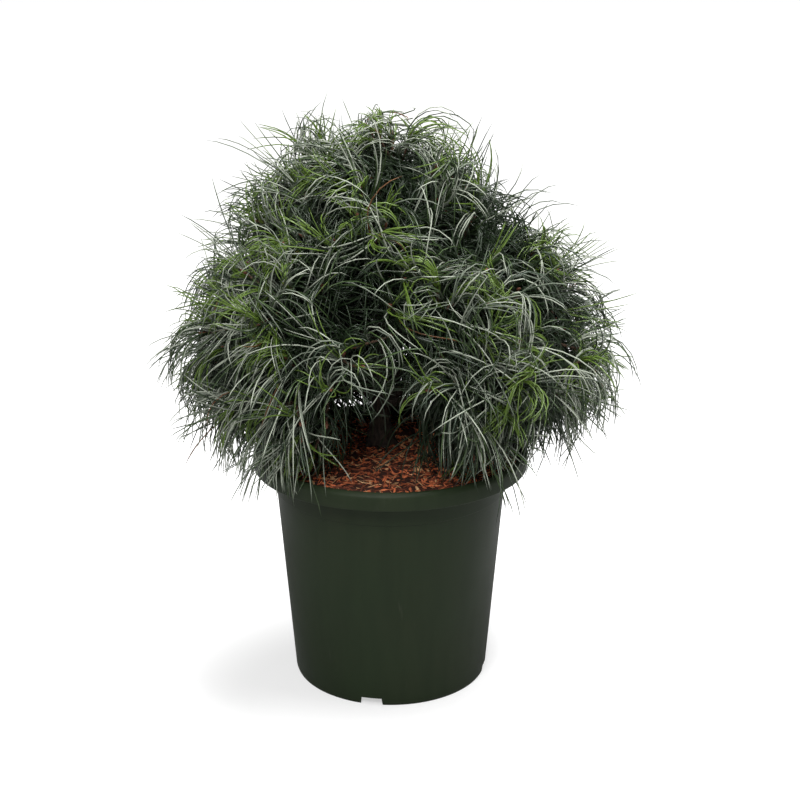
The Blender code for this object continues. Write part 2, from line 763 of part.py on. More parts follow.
def make_mass(plan, plans, limbs, collection, seed):
    """One mass of foliage, joined again with its needles a little shifted until it is sound."""
    for attempt in range(JOIN_TRIES):
        body = grow_mass(plan, plans, limbs, collection, seed, attempt)
        if clean_shell(body):
            break
        if attempt < JOIN_TRIES - 1:
            remove_object(body)
    body.data.name = body.name
    body.data.materials.clear()
    body.data.materials.append(new_material(body.name + "_finish", "needles"))
    return body


def clean_shell(item):
    """Drop loose scraps and sealed hollows, cut to triangles, and say whether all is sound."""
    bm = bmesh.new()
    bm.from_mesh(item.data)
    unseen = set(bm.verts)
    shells = []
    while unseen:
        queue = [unseen.pop()]
        shell = []
        while queue:
            vertex = queue.pop()
            shell.append(vertex)
            for edge in vertex.link_edges:
                other = edge.other_vert(vertex)
                if other in unseen:
                    unseen.remove(other)
                    queue.append(other)
        shells.append(shell)
    shells.sort(key=len)
    for shell in shells[:-1]:
        bmesh.ops.delete(bm, geom=shell, context="VERTS")
    bmesh.ops.remove_doubles(bm, verts=bm.verts, dist=WELD)
    bmesh.ops.dissolve_limit(bm, angle_limit=FLAT_ANGLE, verts=bm.verts, edges=bm.edges)
    bmesh.ops.triangulate(bm, faces=bm.faces)
    sound = all(part.is_manifold for part in [*bm.verts, *bm.edges])
    for face in bm.faces:
        longest = max(edge.calc_length() for edge in face.edges)
        sound = sound and 2.0 * face.calc_area() / longest > THINNEST_FACE
    sound = sound and not touches_itself(bm)
    bm.to_mesh(item.data)
    bm.free()
    return sound


def touches_itself(bm):
    """Whether two faces touch that share no corner."""
    bm.faces.ensure_lookup_table()
    tree = BVHTree.FromBMesh(bm, epsilon=THINNEST_GAP)
    for first, second in tree.overlap(tree):
        corners = set(bm.faces[first].verts)
        if first < second and corners.isdisjoint(bm.faces[second].verts):
            return True
    return False


def make_trunk(path, collection):
    """The trunk, from its flat cut at the mulch to where it enters the leader's foliage."""
    trunk = limb_mesh("trunk", path, collection, TRUNK_RESOLUTION)
    shape_root_flare(trunk)
    trunk.data.materials.append(new_material("trunk_finish", "wood"))
    return trunk


def make_bough(plan, trunk_cutter, collection):
    """One bough, cut to the trunk's side where it springs from it."""
    bough = limb_mesh("bough_" + plan["name"], plan["path"], collection)
    boolean(bough, "DIFFERENCE", operand=trunk_cutter)
    clean_shell(bough)
    bough.data.materials.clear()
    bough.data.materials.append(new_material(bough.name + "_finish", "wood"))
    return bough


def main():
    """Build the potted plant."""
    clear_scene()
    parts = new_collection(OBJECT_NAME)
    cutters = new_collection(OBJECT_NAME + "_cutters")
    make_pot(parts, cutters)
    make_root_ball(parts)
    trunk = trunk_path()
    make_trunk(trunk, parts)
    plans = plan_masses(trunk)
    trunk_cutter = limb_mesh("trunk_cutter", trunk, cutters, TRUNK_RESOLUTION, TRUNK_CLEARANCE)
    trunk_cutter.hide_render = True
    trunk_cutter.display_type = "WIRE"
    limbs = capsules(trunk)
    for plan in plans[:-1]:
        make_bough(plan, trunk_cutter, parts)
        limbs += capsules(plan["path"])
    for number, plan in enumerate(plans):
        make_mass(plan, plans, limbs, parts, OTHER_SEEDS.get(plan["name"], SEED + number))
    for item in parts.objects:
        item.data.shade_smooth()
        item.data.set_sharp_from_angle(angle=SMOOTH_ANGLE)


main()
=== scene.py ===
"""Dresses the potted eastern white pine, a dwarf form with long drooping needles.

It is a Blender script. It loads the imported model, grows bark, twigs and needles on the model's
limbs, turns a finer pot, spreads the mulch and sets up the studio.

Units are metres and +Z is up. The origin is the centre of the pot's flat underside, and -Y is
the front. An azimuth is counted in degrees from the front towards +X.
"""
import json
import math
import random

import bmesh
import bpy
import numpy as np
from bpy.props import FloatProperty, FloatVectorProperty, IntProperty
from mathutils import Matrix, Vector, noise

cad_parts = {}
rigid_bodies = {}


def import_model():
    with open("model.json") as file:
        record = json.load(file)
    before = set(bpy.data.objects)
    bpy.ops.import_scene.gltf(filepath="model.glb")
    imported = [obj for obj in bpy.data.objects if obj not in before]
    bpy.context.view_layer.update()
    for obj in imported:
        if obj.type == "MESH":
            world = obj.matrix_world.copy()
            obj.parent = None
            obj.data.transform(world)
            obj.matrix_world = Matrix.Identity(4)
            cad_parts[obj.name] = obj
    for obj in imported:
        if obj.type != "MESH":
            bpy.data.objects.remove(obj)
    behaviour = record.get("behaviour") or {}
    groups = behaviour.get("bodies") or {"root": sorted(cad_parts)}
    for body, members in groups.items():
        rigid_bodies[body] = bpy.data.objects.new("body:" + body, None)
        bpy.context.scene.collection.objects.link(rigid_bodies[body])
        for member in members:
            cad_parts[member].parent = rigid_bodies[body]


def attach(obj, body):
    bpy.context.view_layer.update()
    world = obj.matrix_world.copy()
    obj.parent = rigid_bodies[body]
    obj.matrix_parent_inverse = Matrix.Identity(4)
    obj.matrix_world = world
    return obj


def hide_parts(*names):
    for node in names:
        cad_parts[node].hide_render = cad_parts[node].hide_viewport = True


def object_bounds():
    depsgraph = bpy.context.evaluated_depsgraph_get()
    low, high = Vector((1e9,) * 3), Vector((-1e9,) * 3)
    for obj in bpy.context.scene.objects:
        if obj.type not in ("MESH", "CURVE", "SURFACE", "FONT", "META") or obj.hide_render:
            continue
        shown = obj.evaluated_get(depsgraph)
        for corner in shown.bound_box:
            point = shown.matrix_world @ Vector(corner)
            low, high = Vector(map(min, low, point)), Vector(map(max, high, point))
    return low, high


bl_info = {
    "name": "Potted White Pine",
    "version": (1, 0, 0),
    "blender": (4, 5, 0),
    "location": "3D View > Sidebar > White Pine",
    "description": "Dresses the packed model of a dwarf white pine in a nursery pot",
    "category": "Object",
}

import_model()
CAD_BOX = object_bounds()
BODY = "root"

# Pot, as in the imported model
POT_FOOT_RADIUS = 0.1003
POT_SHOULDER_RADIUS = 0.1190
POT_SHOULDER_HEIGHT = 0.2260
POT_RING_HEIGHT = 0.2030
POT_RIM_RADIUS = 0.1400
POT_RIM_HEIGHT = 0.2437
POT_MOUTH_RADIUS = 0.1336
POT_WALL = 0.0025
POT_FLOOR_CHANNEL = 0.0080
CHANNEL_INNER_RADIUS = 0.0790

# Small steps of the pot's outline: flat and drop of its lip, step under the collar, moulding ring,
# and the eased edge of its foot. Fillets are in millimetres, have a few steps each and take at
# most a share of an edge. Edges sharper than the angle, in degrees, stay crisp
LIP_FLAT = 0.0022
LIP_DROP = 0.0030
COLLAR_STEP = 0.0011
RING_OUT = 0.0014
RING_IN = 0.0003
RING_UNDER = 0.0004
FOOT_OUT = 0.0002
FOOT_RISE = 0.0030
FOOT_EASE = 0.0010
MILLIMETRE = 0.001
FILLET_STEPS = 4
FILLET_MOST = 0.48
SHARP_ANGLE = 38.0
ON_AXIS = 1e-6

# Notches in the pot's foot
NOTCH_COUNT = 4
NOTCH_AZIMUTH = -11.0
NOTCH_WIDTH = 0.0245
NOTCH_TOP_WIDTH = 0.0210
NOTCH_HEIGHT = 0.0078
NOTCH_DEPTH = 0.0110

# Mulch on the root ball
MULCH_HEIGHT = 0.2310
MULCH_DOME = 0.0030
MULCH_LUMP = 0.0016
MULCH_LUMP_SIZE = 0.016
MULCH_NOISE_PLANE = 0.5
SEAT_RADIUS = 0.034

# The bed of crumbs: its play in the pot, its rings and sides, the crumbs' height, how much lower
# they begin than the mulch, and their noise. A point that is lower than the mulch's height by less
# than the last value is on the bed's top
BED_PLAY = 0.0002
BED_RINGS = 46
BED_SIDES = 140
CRUMB_HEIGHT = 0.0011
CRUMB_DROP = 0.0004
CRUMB_SCALE = 260.0
CRUMB_OCTAVES = 4
CRUMB_PLANE = 0.2
BED_LEVEL = 1e-5

# Shapes of chip: its length and its width beside the usual length, and its bend
CHIP_SHAPES = (
    (1.0, 0.15, 0.05),
    (0.8, 0.23, -0.04),
    (1.2, 0.10, 0.10),
    (0.55, 0.28, 0.0),
    (1.5, 0.07, 0.16),
)

# Places along a chip with its swell there, how uneven it is, and its thickness beside its width
CHIP_PLACES = (-0.5, -0.22, 0.25, 0.5)
CHIP_SWELL = (0.35, 1.0, 0.9, 0.2)
CHIP_WIDTH_UNEVEN = (0.8, 1.2)
CHIP_THICK = 0.28
CHIP_THICK_UNEVEN = (0.7, 1.3)
CHIP_SHIFT = 0.12

# Layers of chips: shade, share of the density and tilt in radians; the first layer's seed
CHIP_LAYERS = (
    ("dark", 1.0, 0.30),
    ("red", 1.35, 0.45),
    ("orange", 0.55, 0.55),
)
CHIP_SEED = 3

# Chips lie on the bed's level faces, clear of its edge, and are kept inside the wall and above
# the underside of the mulch
CHIP_LEVEL = 0.3
CHIP_INSET = 0.004
CHIP_WALL_PLAY = 0.0006
CHIP_SUNK = 0.0012

# Trunk
GAP = 0.0003
TRUNK_FOOT = Vector((-0.011, 0.041, MULCH_HEIGHT + GAP))
TRUNK_TOP = Vector((0.002, 0.030, 0.470))
TRUNK_BOW = Vector((-0.006, -0.004, 0.0))
TRUNK_RADIUS = 0.0102
TRUNK_TOP_RADIUS = 0.0040
FLARE_RADIUS = 0.0165
FLARE_HEIGHT = 0.022
FLARE_FALL = 3.0
FLARE_LOBES = 5
FLARE_LOBE_DEPTH = 0.16
TRUNK_POINTS = 12
TRUNK_POINT_BIAS = 1.25

# Crown, with its masses in tiers: name, count, first and last azimuth, height on the trunk,
# elevation seen from the crown's centre, share of the crown's radius at the bough's tip
CROWN_CENTRE = Vector((0.002, 0.030, 0.352))
CELL_SHARE = 0.68
OPENING_AZIMUTH = -8.0
OPENING_HALF_WIDTH = 17.0
OPENING_TOP = 0.340
TIERS = (
    ("low", 6, 36.0, 322.0, 0.276, -11.0, 0.48),
    ("middle", 5, 22.0, 310.0, 0.338, 24.0, 0.46),
    ("upper", 4, 70.0, 340.0, 0.404, 56.0, 0.44),
)
TIER_STAGGER = 0.0085
REACH = {"upper_1": 0.90, "upper_3": 1.06, "middle_2": 0.96, "middle_4": 1.03, "low_2": 1.02}
BOUGH_RADIUS = {"low": 0.0052, "middle": 0.0046, "upper": 0.0040}
BOUGH_TIP_SHARE = 0.55
BOUGH_SAG = 0.10
BOUGH_KNEE = 0.55
BOUGH_KNEE_OUT = 0.04
BOUGH_POINTS = 5

# Relief of the wood: length of a step and sides of a tube, fineness of the bark across and along
# the trunk, swelling at a bough's foot and how soon it fades, knobs on boughs, scars on twigs
TRUNK_STEP = 0.0016
TRUNK_SIDES = 44
BARK_ACROSS = 260.0
BARK_ALONG = 75.0
BARK_OCTAVES = 4
BOUGH_STEP = 0.0022
BOUGH_SIDES = 16
BOUGH_SWELL = 0.45
BOUGH_SWELL_FADE = 11.0
KNOB_HEIGHT = 0.00032
KNOB_SCALE = 300.0
KNOB_OCTAVES = 3
TWIG_STEP = 0.0055
TWIG_SIDES = 6
SCAR_HEIGHT = 0.00022
SCAR_SCALE = 520.0

# Shoots, forked off each mass's stem by the golden angle. A heading whose level part is shorter
# than the value for upright is taken as upright
GOLDEN_ANGLE = math.radians(137.508)
SHOOTS = 6
SHOOT_SPREAD = math.radians(32.0)
SHOOT_TRIES = 10
SHOOT_CLOSER = 0.88
SHOOT_MARGIN = 0.010
SHOOT_UNEVEN = (0.90, 1.0)
SHOOT_INSET = 0.046
FORK_FIRST = 0.20
FORK_LAST = 0.92
TWIG_OUTWARD = 0.5
TWIG_LIFT = 0.25
TWIG_SAG = 0.08
NEEDLED_LENGTH = 0.038
STEM_STRAIGHT = 0.2
STEM_BEND = 0.3
SEED = 7
OTHER_SEEDS = {"middle_4": 31, "upper_4": 31}
UPRIGHT = 0.02

# Side shoots: how many more a stem and a low mass have, where the first forks and how much further
# the last, tries to place one, and how each try turns and shortens it
STEM_EXTRA = 2
LOW_EXTRA = 1
SIDE_FORK_FIRST = 0.45
SIDE_FORK_SPAN = 0.40
SIDE_TRIES = 9
SIDE_TURN = 0.31
SIDE_SHORTER = 0.04
SIDE_UNEVEN = (0.75, 1.2)
SIDE_OUTWARD = 0.25
SIDE_LIFT = 0.12
SIDE_SAG = 0.06

# How far a side shoot's tip keeps inside the outline, above and beyond the rim, and how far it may
# stray towards another mass
SIDE_INSET = 0.030
SIDE_OVER_RIM = 0.016
SIDE_PAST_RIM = 0.020
SIDE_MARGIN = -0.012

# Radii of shoots by rank, which is 0 for a stem, 1 for a twig and 2 for a side shoot. A stem is as
# thick as its limb's tip at its foot, which is sunk into the limb
SHOOT_FOOT_RADII = {1: 0.0019, 2: 0.0014}
SHOOT_TIP_RADII = {0: 0.0016, 1: 0.0014, 2: 0.0011}
STEM_SUNK = 0.003

# A bud: places along it past the shoot's tip, and its thickness there beside the shoot's
BUD_PLACES = (-0.001, 0.002, 0.005, 0.0075)
BUD_SWELL = (1.05, 1.45, 1.1, 0.15)

# Pieces of needles: name and the masses whose needles it holds
NEEDLE_PIECES = (
    ("needles_low_right", ("low_1", "low_2")),
    ("needles_low_back", ("low_3", "low_4")),
    ("needles_low_left", ("low_5", "low_6")),
    ("needles_middle_right", ("middle_1", "middle_2", "middle_3")),
    ("needles_middle_left", ("middle_4", "middle_5")),
    ("needles_upper", ("upper_1", "upper_2", "upper_3")),
    ("needles_top", ("upper_4", "leader")),
)
NEEDLE_SLOTS = ("deep", "green", "blue", "glaucous", "pale", "young", "dead", "sheath")

# Kinds of needle, each with the slots of its outer side and of its inner sides. The first three are
# dealt out by shares, and of them a share has pale wax on the inner sides
NEEDLE_KINDS = (
    ("deep", "green"),
    ("green", "glaucous"),
    ("blue", "glaucous"),
    ("young", "young"),
    ("dead", "dead"),
    # The last kind, deep on every side, is for needles deep in the crown: partly older, duller
    # needles, partly painted shade of the crown's interior
    ("deep", "deep"),
)
KIND_SHARES = (0.40, 0.38, 0.22)
YOUNG_KIND = 3
DEAD_KIND = 4
SHADED_INNER_KIND = 5
WAXY_SHARE = 0.55

# Share of dead needles where the bundles end; towards the shoot's tip it falls to none
DEAD_SHARE = 0.02

# Share of the crown's radius below which needles are old and dull, and painted darker as the shade
# of the crown's interior
SHADED_INNER_REACH = 0.80

# Roughness of plain needles and of those with wax
NEEDLE_ROUGHNESS = 0.38
WAX_ROUGHNESS = 0.55
WAX_SLOTS = ("glaucous", "pale")

# A needle is a three-sided tube of a few steps: its width along it, the radius of its ring beside
# its width, its most twist in radians, and the rise from which it counts as upright
NEEDLE_SIDES = 3
NEEDLE_STEPS = 7
TAPER_PLACES = (0.0, 0.15, 0.6, 0.85, 1.0)
TAPER_SHARES = (0.75, 1.0, 1.0, 0.75, 0.4)
RING_RADIUS = 0.58
NEEDLE_TWIST = 2.2
NEEDLE_UPRIGHT = 0.9

# Bundles of five along the end of a shoot: their lean off the shoot, in degrees, at shares of the
# needled length from the tip back, and how uneven lean, spacing and turn are
NEEDLES_IN_BUNDLE = 5
LEAN_PLACES = (0.0, 0.25, 0.7, 1.0)
LEAN_ANGLES = (18.0, 42.0, 82.0, 100.0)
LEAN_UNEVEN = (0.8, 1.2)
SPACING_UNEVEN = 0.3
TURN_UNEVEN = 0.25

# Share of the needled length that a side shoot has
SIDE_ZONE = 0.8

# Where a bundle begins, behind the tip and off the shoot's middle, how far its needles stand from
# its middle, the degrees by which they spread, and how uneven their places round it are. The
# spread is measured from a line askew to the shoot, so that no bundle runs along it
ROOT_BEHIND = 0.001
ROOT_OFF = 0.0009
BUNDLE_RADIUS = 0.0004
BUNDLE_SPREAD = (2.0, 9.0)
BUNDLE_ASKEW = 0.3
ROLL_UNEVEN = 0.4

# Share of the bundles that grow, by the height of the shoot's tip
THIN_HEIGHTS = (0.38, 0.56)
THIN_SHARES = (1.0, 0.78)

# How uneven lengths, weights and bends are, by shoot, by bundle and by needle
SHOOT_LENGTHS = (0.86, 1.08)
NEEDLE_LENGTHS = (0.88, 1.06)
SHOOT_WEIGHTS = (0.6, 1.3)
BUNDLE_WEIGHTS = (0.25, 1.5)
NEEDLE_WEIGHTS = (0.8, 1.2)
SHOOT_CURL = 0.8
BUNDLE_CURL = 0.65
NEEDLE_CURL = 0.2

# How much a needle's weight bends it at its foot, and how much more at its tip
FALL_AT_FOOT = 0.35
FALL_MORE = 1.3

# Share of their weight that needles feel, by the height of the shoot's tip: the highest stand up
HOLD_HEIGHTS = (0.40, 0.50, 0.56)
HOLD_SHARES = (1.0, 0.50, 0.38)

# Young needles: the share of the needled length that bears them, the range of their share there,
# which differs by shoot, and their length and weight beside old ones
YOUNG_PLACE = 0.26
YOUNG_SHARE = (0.1, 1.0)
YOUNG_LENGTHS = (0.5, 0.85)
YOUNG_WEIGHT = 0.35

# Stray bundles stand out of the spray: their share, and their weight, bend and length beside the
# others, with the reach that they add
STRAY_SHARE = 0.07
STRAY_WEIGHT = 0.25
STRAY_CURL = 0.4
STRAY_LENGTH = 1.18
STRAY_REACH = 0.07

# How far bundles may pass the crown's outline, as its mean and its most, and the share of it that
# the leader's bundles reach
FRAY_MEAN = 0.022
FRAY_MOST = 0.08
LEADER_SHARE = 0.91

# That limit is widened by these shares, above the crown's centre by height and below it by azimuth,
# so that needles hang lower in front than at the sides and at the back
SHOULDER_HEIGHTS = (0.37, 0.44, 0.55, 0.60)
SHOULDER_SHARES = (1.0, 1.13, 1.13, 1.0)
HANG_AZIMUTHS = (45.0, 85.0)
HANG_SHARES = (1.26, 1.07)

# Shares of its length that a needle may be cut to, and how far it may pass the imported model's box:
# a share of the box's side and a length
NEEDLE_SCALES = (0.6, 0.7, 0.8, 0.9, 1.0)
SPARE = 0.03
SPARE_EXTRA = 0.009

# Room that needles leave round the pot's lip, at its wall and over the mulch
LIP_INSIDE = 0.002
LIP_OUTSIDE = 0.0015
LIP_ABOVE = 0.001
LIP_BELOW = 0.002
WALL_ROOM = 0.003
MULCH_ROOM = 0.0015

# The part of the front opening that is kept nearly free of needles. A needle crosses it if one of
# its stations from the given one on lies in it
VIEW_TOP = 0.312
VIEW_HALF_WIDTH = 20.0
VIEW_DEPTH = 0.05
VIEW_CLEARED = 0.85
VIEW_STATION = 3

# The dark hollow above it, thinly crossed by needles
HOLLOW_AZIMUTH = -9.0
HOLLOW_HALF_WIDTH = 11.0
HOLLOW_TOP = 0.425
HOLLOW_DEPTH = 0.09
HOLLOW_CLEARED = 0.62
HOLLOW_STATION = 2

# Studio: half a side of the floor, the lights with the setting of their power and their places,
# their size and what they face, and the width of the camera's sensor in millimetres
FLOOR_HALF = 12.0
LIGHTS = (
    ("key_light", "key", (0.50, -0.20, 2.25)),
    ("fill_light", "fill", (-0.40, -1.75, 1.95)),
)
LIGHT_SIZE = 0.9
LIGHT_AIM = Vector((0.0, 0.0, 0.30))
SENSOR_WIDTH = 36.0
WHITE = (1.0, 1.0, 1.0, 1.0)

# The soft shade on the floor: its middle, and where it begins and ends to fade
SHADE_PLACE = (-0.040, -0.070, 0.0)
SHADE_REACH = (0.10, 0.27)


class PineCrown(bpy.types.PropertyGroup):
    """Sizes of the crown and of its finer shoots."""

    half_width: FloatProperty(
        name="Half width", description="From the crown's centre to its side", default=0.232,
        min=0.05, unit="LENGTH", subtype="DISTANCE")
    half_depth: FloatProperty(
        name="Half depth", description="From the crown's centre to its front", default=0.214,
        min=0.05, unit="LENGTH", subtype="DISTANCE")
    rise: FloatProperty(
        name="Rise", description="From the crown's centre to its top", default=0.246,
        min=0.05, unit="LENGTH", subtype="DISTANCE")
    drop: FloatProperty(
        name="Drop", description="From the crown's centre to its lowest tips", default=0.152,
        min=0.05, unit="LENGTH", subtype="DISTANCE")
    top_power: FloatProperty(
        name="Top power", description="2 gives a round top, less a pointed one", default=1.5,
        min=1.0)
    foot_power: FloatProperty(
        name="Foot power", description="2 gives a round foot, more a blunt one", default=2.4,
        min=1.0)
    side_shoots: IntProperty(
        name="Side shoots", description="Finer shoots that fork off each shoot", default=1, min=0)
    side_length: FloatProperty(
        name="Side shoot length", description="Length of a finer shoot", default=0.058,
        min=0.01, unit="LENGTH", subtype="DISTANCE")
    side_angle: FloatProperty(
        name="Side shoot angle", description="Angle between a finer shoot and its twig",
        default=math.radians(48.0), subtype="ANGLE")


class PineNeedles(bpy.types.PropertyGroup):
    """Sizes and colours of the needles."""

    bundles: IntProperty(
        name="Bundles", description="Bundles of five needles on a main shoot", default=23, min=1)
    side_bundles: IntProperty(
        name="Side bundles", description="Bundles of five needles on a finer shoot", default=14,
        min=1)
    shortest: FloatProperty(
        name="Shortest", description="Length of the shortest needles", default=0.068,
        unit="LENGTH", subtype="DISTANCE")
    longest: FloatProperty(
        name="Longest", description="Length of the longest needles", default=0.104,
        unit="LENGTH", subtype="DISTANCE")
    width: FloatProperty(
        name="Width", description="Width of a needle", default=0.00125,
        unit="LENGTH", subtype="DISTANCE")
    zone: FloatProperty(
        name="Needled length", description="Length of shoot that bears needles", default=0.056,
        unit="LENGTH", subtype="DISTANCE")
    droop: FloatProperty(name="Droop", description="How far needles hang over", default=2.9)
    curl: FloatProperty(name="Curl", description="How far needles bend aside", default=1.6)
    seed: IntProperty(name="Seed", description="Seed of the needles' chance", default=11)
    # Deep green also colours every side of the needles deep in the crown, partly as older needles
    # and partly as painted shade of its interior
    deep: FloatVectorProperty(
        name="Deep green", description="Outer side of old needles", subtype="COLOR", size=3,
        min=0.0, max=1.0, default=(0.014, 0.027, 0.010))
    green: FloatVectorProperty(
        name="Green", description="Outer side of most needles", subtype="COLOR", size=3,
        min=0.0, max=1.0, default=(0.042, 0.074, 0.022))
    blue: FloatVectorProperty(
        name="Blue green", description="Outer side of bluish needles", subtype="COLOR", size=3,
        min=0.0, max=1.0, default=(0.046, 0.068, 0.044))
    glaucous: FloatVectorProperty(
        name="Glaucous", description="Waxy inner sides of needles", subtype="COLOR", size=3,
        min=0.0, max=1.0, default=(0.145, 0.170, 0.128))
    pale: FloatVectorProperty(
        name="Pale", description="Palest inner sides of needles", subtype="COLOR", size=3,
        min=0.0, max=1.0, default=(0.320, 0.350, 0.280))
    young: FloatVectorProperty(
        name="Young", description="Young needles and needle bases", subtype="COLOR", size=3,
        min=0.0, max=1.0, default=(0.100, 0.165, 0.024))
    dead: FloatVectorProperty(
        name="Dead", description="Dead needles", subtype="COLOR", size=3,
        min=0.0, max=1.0, default=(0.170, 0.075, 0.030))
    sheath: FloatVectorProperty(
        name="Sheath", description="Papery sheath at a bundle's foot", subtype="COLOR", size=3,
        min=0.0, max=1.0, default=(0.200, 0.120, 0.050))


class PineWood(bpy.types.PropertyGroup):
    """Relief and colours of bark and twigs."""

    ridge: FloatProperty(
        name="Ridge", description="Height of the bark's ridges on the trunk", default=0.0007,
        unit="LENGTH", subtype="DISTANCE")
    # Bark and furrow are darkened to about half their colour: painted shade of the trunk, which
    # stands in the crown's shadow
    bark: FloatVectorProperty(
        name="Bark", description="Ridges of the bark", subtype="COLOR", size=3,
        min=0.0, max=1.0, default=(0.060, 0.042, 0.030))
    furrow: FloatVectorProperty(
        name="Furrow", description="Furrows of the bark", subtype="COLOR", size=3,
        min=0.0, max=1.0, default=(0.012, 0.008, 0.006))
    twig: FloatVectorProperty(
        name="Twig", description="Young bark of the twigs", subtype="COLOR", size=3,
        min=0.0, max=1.0, default=(0.110, 0.060, 0.034))
    bud: FloatVectorProperty(
        name="Bud", description="Buds at the shoots' tips", subtype="COLOR", size=3,
        min=0.0, max=1.0, default=(0.140, 0.050, 0.026))


class PinePot(bpy.types.PropertyGroup):
    """Finish of the pot."""

    sides: IntProperty(
        name="Sides", description="Steps round the pot", default=160, min=16)
    plastic: FloatVectorProperty(
        name="Plastic", description="Dark green plastic", subtype="COLOR", size=3,
        min=0.0, max=1.0, default=(0.0148, 0.0255, 0.0102))
    faded: FloatVectorProperty(
        name="Faded", description="Where the plastic is browner and faded", subtype="COLOR",
        size=3, min=0.0, max=1.0, default=(0.0180, 0.0262, 0.0118))
    dust: FloatVectorProperty(
        name="Dust", description="Dust and scuffs", subtype="COLOR", size=3,
        min=0.0, max=1.0, default=(0.060, 0.062, 0.045))
    roughness: FloatProperty(
        name="Roughness", description="Roughness of the plastic", default=0.46,
        min=0.0, max=1.0)
    specular: FloatProperty(
        name="Specular", description="Strength of the plastic's shine", default=0.17,
        min=0.0, max=1.0)


class PineMulch(bpy.types.PropertyGroup):
    """Mulch of shredded bark."""

    density: FloatProperty(
        name="Chips", description="Chips of one shade on a square metre", default=19500.0, min=0.0)
    smallest: FloatProperty(
        name="Smallest", description="Smallest scale of a chip", default=0.38)
    largest: FloatProperty(
        name="Largest", description="Largest scale of a chip", default=1.20)
    chip_length: FloatProperty(
        name="Chip length", description="Length of a chip at scale 1", default=0.0135,
        unit="LENGTH", subtype="DISTANCE")
    soil: FloatVectorProperty(
        name="Soil", description="Soil between the chips", subtype="COLOR", size=3,
        min=0.0, max=1.0, default=(0.075, 0.021, 0.010))
    dark: FloatVectorProperty(
        name="Dark chips", description="Dark chips", subtype="COLOR", size=3,
        min=0.0, max=1.0, default=(0.230, 0.055, 0.022))
    red: FloatVectorProperty(
        name="Red chips", description="Red-brown chips", subtype="COLOR", size=3,
        min=0.0, max=1.0, default=(0.880, 0.225, 0.085))
    orange: FloatVectorProperty(
        name="Orange chips", description="Orange chips", subtype="COLOR", size=3,
        min=0.0, max=1.0, default=(1.000, 0.520, 0.250))


class PineStudio(bpy.types.PropertyGroup):
    """Camera, lights and floor."""

    lens: FloatProperty(name="Lens", description="Focal length in millimetres", default=68.31)
    pitch: FloatProperty(
        name="Pitch", description="How far the camera looks down", default=0.312, subtype="ANGLE")
    eye: FloatVectorProperty(
        name="Eye", description="Place of the camera", size=3, unit="LENGTH",
        subtype="TRANSLATION", default=(0.0097, -1.4626, 0.7633))
    sky: FloatProperty(name="Sky", description="Light of the white surroundings", default=0.36)
    key: FloatProperty(name="Key", description="Power of the key light in watts", default=60.0)
    fill: FloatProperty(name="Fill", description="Power of the fill light in watts", default=36.0)
    glow: FloatProperty(
        name="Glow", description="Added white of the floor, as the camera sees it", default=0.53)
    floor: FloatVectorProperty(
        name="Floor", description="Pale floor", subtype="COLOR", size=3,
        min=0.0, max=1.0, default=(0.46, 0.46, 0.46))


def bezier(points, share):
    """A point on the Bezier curve of any number of control points."""
    while len(points) > 1:
        points = [a.lerp(b, share) for a, b in zip(points, points[1:])]
    return points[0]


def point_along(points, share):
    """A point at a share of the way along a line of points."""
    place = share * (len(points) - 1)
    i = min(int(place), len(points) - 2)
    return points[i].lerp(points[i + 1], place - i)


def trunk_path():
    """Centre line of the trunk, upright at its foot, as (point, radius) pairs."""
    rise = Vector((0.0, 0.0, (TRUNK_TOP.z - TRUNK_FOOT.z) / 3.0))
    controls = [TRUNK_FOOT, TRUNK_FOOT + rise, TRUNK_TOP - rise + TRUNK_BOW, TRUNK_TOP]
    path = []
    for i in range(TRUNK_POINTS):
        share = (i / (TRUNK_POINTS - 1)) ** TRUNK_POINT_BIAS
        point = bezier(controls, share)
        if i == 1:
            point.xy = TRUNK_FOOT.xy
        height = point.z - TRUNK_FOOT.z
        flare = (FLARE_RADIUS - TRUNK_RADIUS) * math.exp(-FLARE_FALL * height / FLARE_HEIGHT)
        taper = TRUNK_RADIUS + (TRUNK_TOP_RADIUS - TRUNK_RADIUS) * share
        path.append((point, taper + flare))
    return path


def point_at_height(path, height):
    """Point where a rising path passes a height."""
    for (low, _), (high, _) in zip(path, path[1:]):
        if low.z <= height <= high.z:
            return low.lerp(high, (height - low.z) / (high.z - low.z))
    return path[-1][0]


def direction(azimuth, elevation):
    """Unit vector at an azimuth from the front and an elevation, in degrees."""
    turn = math.radians(azimuth)
    rise = math.radians(elevation)
    flat = math.cos(rise)
    return Vector((math.sin(turn) * flat, -math.cos(turn) * flat, math.sin(rise)))


def crown_radius(crown, heading):
    """Distance from the crown's centre to its outline along a unit vector."""
    level = math.hypot(heading.x / crown.half_width, heading.y / crown.half_depth)
    if heading.z > 0.0:
        power = crown.top_power
        upright = heading.z / crown.rise
    else:
        power = crown.foot_power
        upright = -heading.z / crown.drop
    return (level ** power + upright ** power) ** (-1.0 / power)


def across_vectors(heading, hint=None):
    """Two unit vectors across a heading: one level, or nearest to a hint, one square to both."""
    level = hint or heading.cross(Vector((0.0, 0.0, 1.0)))
    if level.length < UPRIGHT:
        level = Vector((1.0, 0.0, 0.0))
    level = (level - heading * level.dot(heading)).normalized()
    return level, level.cross(heading).normalized()


